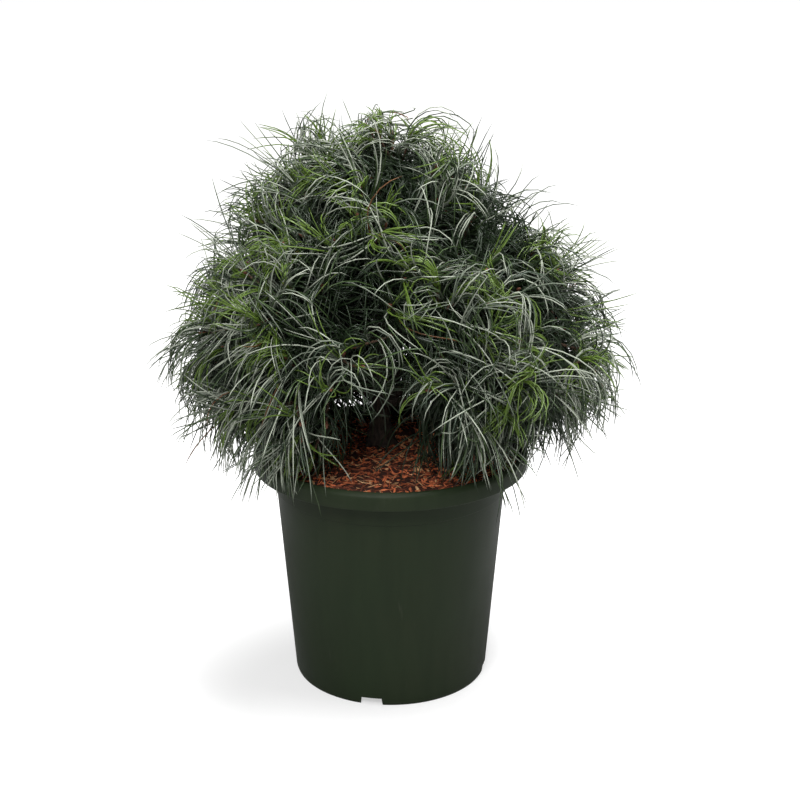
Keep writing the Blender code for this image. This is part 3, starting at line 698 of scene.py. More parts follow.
def plan_masses(crown, trunk):
    """Lay out every mass: its name, heading, reach, and the bough that carries it."""
    plans = []
    for tier, count, first, last, height, elevation, tip_share in TIERS:
        for i in range(count):
            name = "%s_%d" % (tier, i + 1)
            azimuth = first + (last - first) * i / (count - 1)
            reach = REACH.get(name, 1.0)
            heading = direction(azimuth, elevation)
            tip = CROWN_CENTRE + heading * (crown_radius(crown, heading) * reach * tip_share)
            level = height + TIER_STAGGER * ((i * 2) % count) / 2.0
            root = point_at_height(trunk, level)
            radius = BOUGH_RADIUS[tier]
            flat = Vector((heading.x, heading.y, 0.0)).normalized()
            length = (tip - root).length
            sag = Vector((0.0, 0.0, -BOUGH_SAG * length))
            knee = root.lerp(tip, BOUGH_KNEE) + sag + flat * (BOUGH_KNEE_OUT * length)
            path = []
            for j in range(BOUGH_POINTS):
                share = j / (BOUGH_POINTS - 1)
                point = bezier([root, knee, tip], share)
                path.append((point, radius * (1.0 + (BOUGH_TIP_SHARE - 1.0) * share)))
            plans.append({"name": name, "heading": heading, "reach": reach, "path": path})
    heading = Vector((0.0, 0.0, 1.0))
    plans.append({"name": "leader", "heading": heading, "reach": 1.0, "path": trunk})
    for plan in plans:
        outline = crown_radius(crown, plan["heading"]) * plan["reach"]
        plan["centre"] = CROWN_CENTRE + plan["heading"] * (outline * CELL_SHARE)
    return plans


def in_room(crown, plan, plans, point, margin):
    """Whether a point lies inside the outline and nearer a mass's own centre than any other."""
    offset = point - CROWN_CENTRE
    if offset.length > crown_radius(crown, offset.normalized()) * plan["reach"]:
        return False
    for other in plans:
        if other is not plan:
            away = other["centre"] - plan["centre"]
            middle = (other["centre"] + plan["centre"]) / 2.0
            if away.normalized().dot(point - middle) >= -margin:
                return False
    return True


def in_opening(point):
    """Whether a point lies in the gap at the front, where the trunk and mulch show."""
    offset = point - CROWN_CENTRE
    azimuth = math.degrees(math.atan2(offset.x, -offset.y))
    return point.z < OPENING_TOP and abs(azimuth - OPENING_AZIMUTH) < OPENING_HALF_WIDTH


def shoot_targets(crown, plan, plans, draw):
    """Where the shoots of a mass end: a golden-angle spiral round its heading, in its room."""
    level, square = across_vectors(plan["heading"])
    roll = draw.uniform(0.0, 2.0 * math.pi)
    targets = []
    for k in range(SHOOTS):
        spread = SHOOT_SPREAD * math.sqrt(k / (SHOOTS - 1))
        angle = roll + k * GOLDEN_ANGLE
        side = level * math.cos(angle) + square * math.sin(angle)
        uneven = draw.uniform(*SHOOT_UNEVEN) if k else 1.0
        for closer in range(SHOOT_TRIES):
            tilt = spread * SHOOT_CLOSER ** closer
            heading = plan["heading"] * math.cos(tilt) + side * math.sin(tilt)
            outline = crown_radius(crown, heading) * plan["reach"] * uneven
            target = CROWN_CENTRE + heading * (outline - SHOOT_INSET)
            if in_room(crown, plan, plans, target, SHOOT_MARGIN) and not in_opening(target):
                targets.append((heading, target))
                break
    return targets


def shoot_course(fork, target, heading):
    """Direction in which a shoot ends: away from its fork, outwards and a little up."""
    course = (target - fork).normalized() + heading * TWIG_OUTWARD + Vector((0.0, 0.0, TWIG_LIFT))
    return course.normalized()


def stem_points(plan, target):
    """Centre line of a mass's stem, from its limb's tip on to the leading shoot's tip."""
    (before, _), (tip, _) = plan["path"][-2:]
    ahead = (tip - before).normalized()
    start = tip + ahead * GAP
    course = shoot_course(start, target, plan["heading"])
    before_tip = target - course * NEEDLED_LENGTH
    reach = (before_tip - start).length
    first = start + ahead * (STEM_STRAIGHT * reach)
    controls = [first, first + ahead * (STEM_BEND * reach)]
    controls += [before_tip - course * (STEM_STRAIGHT * reach), before_tip]
    return [start, first, bezier(controls, 0.5), before_tip, target]


def twig_points(stem, target, heading, share):
    """Centre line of a shoot that forks off the stem at a share of its bare length."""
    fork = point_along(stem[:-1], share)
    before_tip = target - shoot_course(fork, target, heading) * NEEDLED_LENGTH
    sag = Vector((0.0, 0.0, -TWIG_SAG * (before_tip - fork).length))
    return [fork, fork.lerp(before_tip, 0.5) + sag, before_tip, target]


def grow_shoots(crown, plans):
    """Every shoot of every mass as a dictionary: its mass, rank, centre line and heading."""
    shoots = []
    for number, plan in enumerate(plans):
        draw = random.Random(OTHER_SEEDS.get(plan["name"], SEED + number))
        targets = shoot_targets(crown, plan, plans, draw)
        stem = stem_points(plan, targets[0][1])
        main = [{"points": stem, "heading": plan["heading"], "rank": 0}]
        for k, (heading, target) in enumerate(targets[1:], 1):
            share = FORK_LAST - (FORK_LAST - FORK_FIRST) * k / SHOOTS
            points = twig_points(stem, target, heading, share)
            main.append({"points": points, "heading": heading, "rank": 1})
        finer = []
        for shoot in main:
            finer += side_shoots(crown, plan, plans, shoot, draw)
        for shoot in main + finer:
            shoot["mass"] = plan["name"]
            shoot["reach"] = plan["reach"]
        shoots += main + finer
    return shoots


def side_shoots(crown, plan, plans, shoot, draw):
    """Finer shoots that fork off one shoot, each a golden angle on round it."""
    points = shoot["points"]
    axis = (points[-1] - points[0]).normalized()
    level, square = across_vectors(axis)
    roll = draw.uniform(0.0, 2.0 * math.pi)
    count = crown.side_shoots
    if shoot["rank"] == 0:
        count += STEM_EXTRA
    if plan["heading"].z < 0.0:
        count += LOW_EXTRA
    found = []
    for k in range(count):
        share = SIDE_FORK_FIRST + SIDE_FORK_SPAN * k / max(1, count - 1)
        fork = point_along(points, share)
        for turn in range(SIDE_TRIES):
            angle = roll + (k + SIDE_TURN * turn) * GOLDEN_ANGLE
            side = level * math.cos(angle) + square * math.sin(angle)
            tilt = crown.side_angle * draw.uniform(*SIDE_UNEVEN)
            heading = axis * math.cos(tilt) + side * math.sin(tilt)
            heading = heading + shoot["heading"] * SIDE_OUTWARD
            heading = (heading + Vector((0.0, 0.0, SIDE_LIFT))).normalized()
            length = crown.side_length * draw.uniform(*SIDE_UNEVEN) * (1.0 - SIDE_SHORTER * turn)
            tip = fork + heading * length
            offset = tip - CROWN_CENTRE
            outline = crown_radius(crown, offset.normalized()) * plan["reach"]
            inset = offset.length < outline - SIDE_INSET
            near_rim = math.hypot(tip.x, tip.y) < POT_RIM_RADIUS + SIDE_PAST_RIM
            low = near_rim and tip.z < POT_RIM_HEIGHT + SIDE_OVER_RIM
            clear = inset and not low and not in_opening(tip)
            if clear and in_room(crown, plan, plans, tip, SIDE_MARGIN):
                middle = fork.lerp(tip, 0.5) - Vector((0.0, 0.0, SIDE_SAG * length))
                found.append({"points": [fork, middle, tip], "heading": heading, "rank": 2})
                break
    return found


def smooth_line(points, step):
    """Points a step apart along a Catmull-Rom curve through a line of points."""
    line = []
    padded = [points[0] * 2.0 - points[1]] + list(points) + [points[-1] * 2.0 - points[-2]]
    for a, b, c, d in zip(padded, padded[1:], padded[2:], padded[3:]):
        count = max(2, int((c - b).length / step))
        for i in range(count):
            t = i / count
            line.append(0.5 * (2.0 * b + (c - a) * t + (2.0 * a - 5.0 * b + 4.0 * c - d) * t ** 2
                               + (3.0 * b - a - 3.0 * c + d) * t ** 3))
    line.append(points[-1].copy())
    return line


class Shell:
    """Vertices and faces of one piece, gathered from many parts."""

    def __init__(self):
        self.points = []
        self.faces = []
        self.slots = []

    def tube(self, line, radius_at, sides, slot=0):
        """A closed tube along a line; radius_at gives the radius at a share, point and side."""
        first = len(self.points)
        level = None
        for i, point in enumerate(line):
            ahead = line[min(i + 1, len(line) - 1)] - line[max(i - 1, 0)]
            level, square = across_vectors(ahead.normalized(), level)
            for k in range(sides):
                angle = 2.0 * math.pi * k / sides
                across = level * math.cos(angle) + square * math.sin(angle)
                radius = radius_at(i / (len(line) - 1), point, across)
                self.points.append(point + across * radius)
        for i in range(len(line) - 1):
            for k in range(sides):
                low = first + i * sides
                n = (k + 1) % sides
                self.faces.append((low + n, low + k, low + sides + k, low + sides + n))
                self.slots.append(slot)
        self.faces.append(tuple(first + k for k in range(sides)))
        last = first + (len(line) - 1) * sides
        self.faces.append(tuple(last + k for k in reversed(range(sides))))
        self.slots += [slot, slot]

    def piece(self, name, materials):
        """The finished piece as an object, riding on the plant's body."""
        mesh = bpy.data.meshes.new(name)
        mesh.from_pydata([tuple(point) for point in self.points], [], self.faces)
        for material in materials:
            mesh.materials.append(material)
        mesh.polygons.foreach_set("material_index", self.slots)
        mesh.polygons.foreach_set("use_smooth", [True] * len(self.faces))
        mesh.update()
        return add_piece(name, mesh)


def add_piece(name, mesh):
    """A mesh as a piece of the plant, at the origin."""
    item = bpy.data.objects.new(name, mesh)
    bpy.context.scene.collection.objects.link(item)
    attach(item, BODY)
    return item


def plain_material(name, colour, roughness, specular=0.5):
    """A material of one plain colour."""
    material = bpy.data.materials.new(name)
    material.use_nodes = True
    shader = material.node_tree.nodes["Principled BSDF"]
    shader.inputs["Base Color"].default_value = (*colour, 1.0)
    shader.inputs["Roughness"].default_value = roughness
    shader.inputs["Specular IOR Level"].default_value = specular
    material.diffuse_color = (*colour, 1.0)
    return material


class Recipe:
    """A node material under construction, with short calls for its common nodes."""

    def __init__(self, name):
        self.material = bpy.data.materials.new(name)
        self.material.use_nodes = True
        self.tree = self.material.node_tree
        self.shader = self.tree.nodes["Principled BSDF"]
        self.place = self.tree.nodes.new("ShaderNodeTexCoord").outputs["Object"]

    def link(self, source, target):
        """Join an output to an input."""
        self.tree.links.new(source, target)

    def stretched(self, scale):
        """Object coordinates scaled differently along each axis."""
        mapping = self.tree.nodes.new("ShaderNodeMapping")
        mapping.inputs["Scale"].default_value = scale
        self.link(self.place, mapping.inputs["Vector"])
        return mapping.outputs["Vector"]

    def noise(self, scale, detail=4.0, roughness=0.55, vector=None):
        """Fractal noise on Object coordinates."""
        node = self.tree.nodes.new("ShaderNodeTexNoise")
        node.inputs["Scale"].default_value = scale
        node.inputs["Detail"].default_value = detail
        node.inputs["Roughness"].default_value = roughness
        self.link(vector or self.place, node.inputs["Vector"])
        return node.outputs["Fac"]

    def cells(self, scale):
        """Distance to the nearest of many scattered points."""
        node = self.tree.nodes.new("ShaderNodeTexVoronoi")
        node.inputs["Scale"].default_value = scale
        self.link(self.place, node.inputs["Vector"])
        return node.outputs["Distance"]

    def ranged(self, value, low, high, to_low=0.0, to_high=1.0):
        """A value moved from one range to another, held inside it."""
        node = self.tree.nodes.new("ShaderNodeMapRange")
        node.inputs["From Min"].default_value = low
        node.inputs["From Max"].default_value = high
        node.inputs["To Min"].default_value = to_low
        node.inputs["To Max"].default_value = to_high
        self.link(value, node.inputs["Value"])
        return node.outputs["Result"]

    def product(self, first, second):
        """Two values multiplied."""
        node = self.tree.nodes.new("ShaderNodeMath")
        node.operation = "MULTIPLY"
        self.link(first, node.inputs[0])
        self.link(second, node.inputs[1])
        return node.outputs["Value"]

    def blend(self, share, first, second):
        """A colour between two colours or outputs."""
        node = self.tree.nodes.new("ShaderNodeMix")
        node.data_type = "RGBA"
        self.link(share, node.inputs["Factor"])
        for socket, colour in ((node.inputs["A"], first), (node.inputs["B"], second)):
            if isinstance(colour, bpy.types.NodeSocket):
                self.link(colour, socket)
            else:
                socket.default_value = (*colour, 1.0)
        return node.outputs["Result"]

    def finish(self, colour, roughness, height=None, depth=0.001, strength=0.5):
        """Join colour, roughness and relief to the shader and give the material."""
        self.link(colour, self.shader.inputs["Base Color"])
        if isinstance(roughness, bpy.types.NodeSocket):
            self.link(roughness, self.shader.inputs["Roughness"])
        else:
            self.shader.inputs["Roughness"].default_value = roughness
        if height is not None:
            bump = self.tree.nodes.new("ShaderNodeBump")
            bump.inputs["Distance"].default_value = depth
            bump.inputs["Strength"].default_value = strength
            self.link(height, bump.inputs["Height"])
            self.link(bump.outputs["Normal"], self.shader.inputs["Normal"])
        return self.material


def bark_material(wood):
    """Furrowed bark, darker between its ridges."""
    recipe = Recipe("pine_bark")
    lengthwise = recipe.stretched((1.0, 1.0, 0.28))
    furrows = recipe.noise(420.0, detail=6.0, roughness=0.65, vector=lengthwise)
    patches = recipe.noise(55.0, detail=3.0)
    colour = recipe.blend(recipe.ranged(furrows, 0.38, 0.62), wood.furrow, wood.bark)
    grey = tuple(0.5 * part + 0.02 for part in wood.bark)
    colour = recipe.blend(recipe.ranged(patches, 0.48, 0.70, 0.0, 0.6), colour, grey)
    roughness = recipe.ranged(furrows, 0.3, 0.7, 0.95, 0.78)
    return recipe.finish(colour, roughness, height=furrows, depth=0.0012, strength=0.7)


def twig_material(wood):
    """Young brown bark with the scars of fallen needles."""
    recipe = Recipe("pine_twig")
    scars = recipe.cells(520.0)
    tone = recipe.noise(90.0, detail=3.0)
    darker = tuple(0.45 * part for part in wood.twig)
    colour = recipe.blend(recipe.ranged(scars, 0.15, 0.6), darker, wood.twig)
    colour = recipe.blend(recipe.ranged(tone, 0.35, 0.7, 0.0, 0.7), colour, darker)
    return recipe.finish(colour, 0.78, height=scars, depth=0.0006, strength=0.6)


def pot_material(pot):
    """Satin moulded plastic with a fine grain, faint flow marks, dust and scuffs."""
    recipe = Recipe("pot_plastic")
    clouds = recipe.noise(9.0, detail=3.0)
    colour = recipe.blend(recipe.ranged(clouds, 0.35, 0.70), pot.plastic, pot.faded)
    upright = recipe.stretched((1.0, 1.0, 0.12))
    flow = recipe.noise(60.0, detail=2.0, roughness=0.5, vector=upright)
    shade = tuple(0.80 * part for part in pot.plastic)
    colour = recipe.blend(recipe.ranged(flow, 0.42, 0.66, 0.0, 0.5), colour, shade)
    drawn_out = recipe.stretched((1.0, 1.0, 0.07))
    scratch = recipe.noise(160.0, detail=2.0, roughness=0.5, vector=drawn_out)
    marked = recipe.ranged(recipe.noise(14.0, detail=2.0), 0.56, 0.68)
    scuffs = recipe.product(recipe.ranged(scratch, 0.66, 0.72), marked)
    colour = recipe.blend(recipe.ranged(scuffs, 0.0, 1.0, 0.0, 0.35), colour, pot.dust)
    specks = recipe.ranged(recipe.cells(210.0), 0.0, 0.075, 1.0, 0.0)
    settled = recipe.ranged(recipe.noise(26.0, detail=2.0), 0.55, 0.70)
    dusty = recipe.product(specks, settled)
    colour = recipe.blend(recipe.ranged(dusty, 0.0, 1.0, 0.0, 0.6), colour, pot.dust)
    grain = recipe.noise(2600.0, detail=2.0)
    gloss = recipe.ranged(clouds, 0.3, 0.7, pot.roughness - 0.05, pot.roughness + 0.08)
    recipe.shader.inputs["Specular IOR Level"].default_value = pot.specular
    return recipe.finish(colour, gloss, height=grain, depth=0.00012, strength=0.35)


def wood_chip_material(name, colour, number):
    """Fibrous shredded bark of one shade; the number sets its patches apart from the others'."""
    recipe = Recipe(name)
    tone = recipe.noise(70.0 + number, detail=4.0, roughness=0.6)
    fibre = recipe.noise(900.0, detail=3.0, roughness=0.6)
    darker = tuple(0.40 * part for part in colour)
    lighter = tuple(min(1.0, 1.45 * part) for part in colour)
    mixed = recipe.blend(recipe.ranged(tone, 0.35, 0.65), darker, colour)
    mixed = recipe.blend(recipe.ranged(fibre, 0.50, 0.75, 0.0, 0.8), mixed, lighter)
    return recipe.finish(mixed, 0.72, height=fibre, depth=0.0008, strength=0.6)


def soil_material(mulch):
    """Fine dark crumbs between the chips."""
    recipe = Recipe("mulch_bed")
    crumbs = recipe.noise(520.0, detail=5.0, roughness=0.7)
    darker = tuple(0.35 * part for part in mulch.soil)
    colour = recipe.blend(recipe.ranged(crumbs, 0.35, 0.65), darker, mulch.soil)
    return recipe.finish(colour, 0.92, height=crumbs, depth=0.003, strength=0.9)


def pot_outer_radius(height):
    """Radius of the tapered wall's outer side at a height."""
    share = height / POT_SHOULDER_HEIGHT
    return POT_FOOT_RADIUS + (POT_SHOULDER_RADIUS - POT_FOOT_RADIUS) * share


def rounded(profile):
    """A profile of (radius, height, fillet) corners with each corner rounded by its fillet."""
    points = []
    for i, (radius, height, fillet) in enumerate(profile):
        corner = Vector((radius, height))
        if fillet <= 0.0 or i in (0, len(profile) - 1):
            points.append(corner)
            continue
        before = Vector(profile[i - 1][:2]) - corner
        after = Vector(profile[i + 1][:2]) - corner
        reach = min(fillet * MILLIMETRE, FILLET_MOST * before.length, FILLET_MOST * after.length)
        start = corner + before.normalized() * reach
        end = corner + after.normalized() * reach
        for k in range(FILLET_STEPS + 1):
            points.append(bezier([start, corner, end], k / FILLET_STEPS))
    return points


def pot_profile():
    """Outline of the pot's wall, from the middle of its floor up inside and down outside."""
    top = POT_RIM_HEIGHT
    shelf = POT_SHOULDER_HEIGHT + POT_WALL
    mouth = POT_MOUTH_RADIUS
    shoulder = POT_SHOULDER_HEIGHT
    ring = POT_RING_HEIGHT
    channel = POT_FLOOR_CHANNEL
    inner = CHANNEL_INNER_RADIUS
    return [
        (0.0, POT_WALL, 0.0),
        (inner - POT_WALL, POT_WALL, 1.0),
        (inner - POT_WALL, channel + POT_WALL, 1.0),
        (pot_outer_radius(channel) - POT_WALL, channel + POT_WALL, 2.0),
        (pot_outer_radius(shoulder) - POT_WALL, shelf, 1.5),
        (mouth, shelf, 1.0),
        (mouth, top, 0.9),
        (mouth + LIP_FLAT, top, 1.2),
        (POT_RIM_RADIUS, top - LIP_DROP, 5.0),
        (POT_RIM_RADIUS, shoulder, 1.6),
        (POT_SHOULDER_RADIUS + COLLAR_STEP, shoulder, 1.0),
        (pot_outer_radius(ring) + RING_OUT, ring, 0.4),
        (pot_outer_radius(ring) - RING_IN, ring - RING_UNDER, 0.3),
        (POT_FOOT_RADIUS + FOOT_OUT, FOOT_RISE, 1.0),
        (POT_FOOT_RADIUS - FOOT_EASE, 0.0, 1.2),
        (POT_FOOT_RADIUS - POT_WALL, 0.0, 0.5),
        (POT_FOOT_RADIUS - POT_WALL, channel, 1.0),
        (inner, channel, 1.0),
        (inner, 0.0, 0.8),
        (0.0, 0.0, 0.0),
    ]


def turned_mesh(name, outline, sides):
    """A closed turned mesh from an outline of points that starts and ends on the axis."""
    bm = bmesh.new()
    loops = []
    for point in outline:
        if point.x < ON_AXIS:
            loops.append([bm.verts.new((0.0, 0.0, point.y))])
            continue
        ring = []
        for k in range(sides):
            angle = 2.0 * math.pi * k / sides
            x = point.x * math.cos(angle)
            y = point.x * math.sin(angle)
            ring.append(bm.verts.new((x, y, point.y)))
        loops.append(ring)
    for low, high in zip(loops, loops[1:]):
        for k in range(sides):
            n = (k + 1) % sides
            corners = [low[k % len(low)], low[n % len(low)]]
            corners += [high[n % len(high)], high[k % len(high)]]
            bm.faces.new(list(dict.fromkeys(corners)))
    bmesh.ops.recalc_face_normals(bm, faces=bm.faces)
    mesh = bpy.data.meshes.new(name)
    bm.to_mesh(mesh)
    bm.free()
    return mesh


def notch_cutter(angle):
    """A block, narrower at its top, that cuts one drainage notch."""
    mesh = bpy.data.meshes.new("notch_cutter")
    bm = bmesh.new()
    bmesh.ops.create_cube(bm, size=1.0)
    for vertex in bm.verts:
        width = NOTCH_TOP_WIDTH if vertex.co.z > 0 else NOTCH_WIDTH
        height = NOTCH_HEIGHT if vertex.co.z > 0 else -NOTCH_HEIGHT
        along = POT_FOOT_RADIUS + vertex.co.x * NOTCH_DEPTH
        side = vertex.co.y * width
        vertex.co.x = along * math.cos(angle) - side * math.sin(angle)
        vertex.co.y = along * math.sin(angle) + side * math.cos(angle)
        vertex.co.z = height
    bm.to_mesh(mesh)
    bm.free()
    cutter = bpy.data.objects.new("notch_cutter", mesh)
    bpy.context.scene.collection.objects.link(cutter)
    return cutter


def plain_mesh(item):
    """The mesh that an object's modifiers give, with the modifiers removed."""
    bpy.context.view_layer.update()
    graph = bpy.context.evaluated_depsgraph_get()
    mesh = bpy.data.meshes.new_from_object(item.evaluated_get(graph))
    item.modifiers.clear()
    return mesh


def fractal(point, octaves):
    """Fractal noise at a point: each octave is twice as fine as the last and half as strong."""
    return noise.fractal(point, 1.0, 2.0, octaves)


def mulch_surface(x, y):
    """Height of the mulch: a low dome with lumps, and a flat seat under the trunk."""
    edge = POT_MOUTH_RADIUS - GAP
    dome = MULCH_DOME * max(0.0, 1.0 - (x * x + y * y) / (edge * edge))
    point = Vector((x / MULCH_LUMP_SIZE, y / MULCH_LUMP_SIZE, MULCH_NOISE_PLANE))
    lumps = MULCH_LUMP * noise.noise(point)
    away = math.hypot(x - TRUNK_FOOT.x, y - TRUNK_FOOT.y)
    share = min(1.0, max(0.0, away / SEAT_RADIUS - 1.0))
    return MULCH_HEIGHT + (dome + lumps) * share


def mulch_bed_mesh():
    """The top of the root ball as a closed mesh with a crumbly surface."""
    edge = POT_MOUTH_RADIUS - BED_PLAY
    shelf = POT_SHOULDER_HEIGHT + POT_WALL + GAP
    outline = [Vector((edge * i / BED_RINGS, MULCH_HEIGHT)) for i in range(BED_RINGS + 1)]
    outline += [Vector((edge, shelf)), Vector((0.0, shelf))]
    mesh = turned_mesh("mulch_bed", outline, BED_SIDES)
    for vertex in mesh.vertices:
        if vertex.co.z > MULCH_HEIGHT - BED_LEVEL:
            x, y, _ = vertex.co
            crumbs = fractal(Vector((x, y, CRUMB_PLANE)) * CRUMB_SCALE, CRUMB_OCTAVES)
            vertex.co.z = mulch_surface(x, y) + CRUMB_HEIGHT * crumbs - CRUMB_DROP
    mesh.polygons.foreach_set("use_smooth", [True] * len(mesh.polygons))
    return mesh


def chip_mesh(name, length, width, bend, seed):
    """One splinter of bark: flat, rough-ended and a little bent."""
    draw = random.Random(seed)
    points = []
    for place, share in zip(CHIP_PLACES, CHIP_SWELL):
        half = 0.5 * width * share * draw.uniform(*CHIP_WIDTH_UNEVEN)
        thick = CHIP_THICK * width * share * draw.uniform(*CHIP_THICK_UNEVEN)
        rise = bend * length * (0.25 - place * place)
        shift = draw.uniform(-CHIP_SHIFT, CHIP_SHIFT) * width
        for y, z in ((-half, 0.0), (0.0, thick), (half, 0.0), (0.0, -thick)):
            points.append((place * length, y + shift, z + rise))
    last = 4 * (len(CHIP_PLACES) - 1)
    faces = [(3, 2, 1, 0), (last, last + 1, last + 2, last + 3)]
    for i in range(len(CHIP_PLACES) - 1):
        for k in range(4):
            n = (k + 1) % 4
            faces.append((4 * i + k, 4 * i + n, 4 * i + 4 + n, 4 * i + 4 + k))
    mesh = bpy.data.meshes.new(name)
    mesh.from_pydata(points, [], faces)
    bm = bmesh.new()
    bm.from_mesh(mesh)
    bmesh.ops.recalc_face_normals(bm, faces=bm.faces)
    bm.to_mesh(mesh)
    bm.free()
    return mesh


def chip_tree():
    """A node tree that strews the chips of a collection over a surface and joins them."""
    tree = bpy.data.node_groups.new("Strew chips", "GeometryNodeTree")
    tree.is_modifier = True
    face = tree.interface
    face.new_socket("Geometry", in_out="INPUT", socket_type="NodeSocketGeometry")
    face.new_socket("Chips", in_out="INPUT", socket_type="NodeSocketCollection")
    for label in ("Density", "Smallest", "Largest", "Tilt"):
        face.new_socket(label, in_out="INPUT", socket_type="NodeSocketFloat")
    face.new_socket("Seed", in_out="INPUT", socket_type="NodeSocketInt")
    face.new_socket("Finish", in_out="INPUT", socket_type="NodeSocketMaterial")
    face.new_socket("Geometry", in_out="OUTPUT", socket_type="NodeSocketGeometry")
    nodes = tree.nodes
    link = tree.links.new
    start = nodes.new("NodeGroupInput").outputs
    end = nodes.new("NodeGroupOutput")
    spread = nodes.new("GeometryNodeDistributePointsOnFaces")
    chips = nodes.new("GeometryNodeCollectionInfo")
    chips.inputs["Separate Children"].default_value = True
    chips.inputs["Reset Children"].default_value = True
    tilt = nodes.new("FunctionNodeRandomValue")
    tilt.data_type = "FLOAT_VECTOR"
    lean = nodes.new("ShaderNodeCombineXYZ")
    back = nodes.new("ShaderNodeVectorMath")
    back.operation = "SCALE"
    back.inputs["Scale"].default_value = -1.0
    upper = nodes.new("ShaderNodeCombineXYZ")
    upper.inputs["Z"].default_value = 2.0 * math.pi
    size = nodes.new("FunctionNodeRandomValue")
    size.data_type = "FLOAT"
    place = nodes.new("GeometryNodeInstanceOnPoints")
    place.inputs["Pick Instance"].default_value = True
    realize = nodes.new("GeometryNodeRealizeInstances")
    finish = nodes.new("GeometryNodeSetMaterial")
    link(start["Geometry"], spread.inputs["Mesh"])
    link(start["Density"], spread.inputs["Density"])
    link(start["Seed"], spread.inputs["Seed"])
    link(start["Chips"], chips.inputs["Collection"])
    link(start["Tilt"], lean.inputs["X"])
    link(start["Tilt"], lean.inputs["Y"])
    link(lean.outputs["Vector"], back.inputs[0])
    link(start["Tilt"], upper.inputs["X"])
    link(start["Tilt"], upper.inputs["Y"])
    link(back.outputs["Vector"], tilt.inputs["Min"])
    link(upper.outputs["Vector"], tilt.inputs["Max"])
    link(start["Seed"], tilt.inputs["Seed"])
    link(start["Smallest"], size.inputs[2])
    link(start["Largest"], size.inputs[3])
    link(start["Seed"], size.inputs["Seed"])
    link(spread.outputs["Points"], place.inputs["Points"])
    link(chips.outputs["Instances"], place.inputs["Instance"])
    link(tilt.outputs["Value"], place.inputs["Rotation"])
    link(size.outputs[1], place.inputs["Scale"])
    link(place.outputs["Instances"], realize.inputs["Geometry"])
    link(realize.outputs["Geometry"], finish.inputs["Geometry"])
    link(start["Finish"], finish.inputs["Material"])
    link(finish.outputs["Geometry"], end.inputs["Geometry"])
    return tree


def chip_collection(length):
    """A collection with one chip of each shape, for a usual length."""
    chips = bpy.data.collections.new("chips")
    for i, (long, slim, bend) in enumerate(CHIP_SHAPES):
        mesh = chip_mesh("chip_%d" % i, length * long, length * slim, bend, i)
        chips.objects.link(bpy.data.objects.new("chip_%d" % i, mesh))
    return chips


def strewn_surface(bed):
    """The level faces of the bed, clear of its edge, on which chips are strewn."""
    top = bmesh.new()
    top.from_mesh(bed)
    inside = POT_MOUTH_RADIUS - CHIP_INSET
    away = []
    for face in top.faces:
        radius = math.hypot(*face.calc_center_median().xy)
        if face.normal.z < CHIP_LEVEL or radius > inside:
            away.append(face)
    bmesh.ops.delete(top, geom=away, context="FACES")
    surface = bpy.data.meshes.new("strewn")
    top.to_mesh(surface)
    top.free()
    return surface


def rest_chips(bm):
    """Keep the chips' corners inside the pot's mouth and above the mulch's underside."""
    widest = POT_MOUTH_RADIUS - CHIP_WALL_PLAY
    lowest = MULCH_HEIGHT - CHIP_SUNK
    for vertex in bm.verts:
        radius = math.hypot(vertex.co.x, vertex.co.y)
        if radius > widest:
            vertex.co.x *= widest / radius
            vertex.co.y *= widest / radius
        vertex.co.z = max(vertex.co.z, lowest)


def set_inputs(modifier, values):
    """Set a node modifier's inputs by their names."""
    for socket in modifier.node_group.interface.items_tree:
        if socket.in_out == "INPUT" and socket.name in values:
            modifier[socket.identifier] = values[socket.name]


def unit(vectors):
    """Vectors scaled to length 1, along the last axis."""
    return vectors / np.maximum(np.linalg.norm(vectors, axis=-1, keepdims=True), 1e-9)


def crown_reach(crown, points):
    """Distance of points from the crown's centre as a share of its outline."""
    offset = points - np.array(CROWN_CENTRE)
    level = np.hypot(offset[..., 0] / crown.half_width, offset[..., 1] / crown.half_depth)
    above = offset[..., 2] > 0
    upright = np.abs(offset[..., 2]) / np.where(above, crown.rise, crown.drop)
    power = np.where(above, crown.top_power, crown.foot_power)
    return (level ** power + upright ** power) ** (1.0 / power)


def front_azimuth(points):
    """Degrees round the crown's centre from the front, positive towards +X."""
    offset = points - np.array(CROWN_CENTRE)
    return np.degrees(np.arctan2(offset[..., 0], -offset[..., 1]))


def off_the_pot(points):
    """Whether each point is clear of the pot's wall and of the mulch."""
    radius = np.hypot(points[..., 0], points[..., 1])
    height = points[..., 2]
    lip = (radius > POT_MOUTH_RADIUS - LIP_INSIDE) & (radius < POT_RIM_RADIUS + LIP_OUTSIDE)
    lip = lip & (height < POT_RIM_HEIGHT + LIP_ABOVE)
    lip = lip & (height > POT_SHOULDER_HEIGHT - LIP_BELOW)
    body = (radius < POT_SHOULDER_RADIUS + WALL_ROOM) & (height < POT_SHOULDER_HEIGHT)
    mulch = (radius < POT_MOUTH_RADIUS) & (height < MULCH_HEIGHT + MULCH_DOME + MULCH_ROOM)
    return ~(lip | body | mulch)


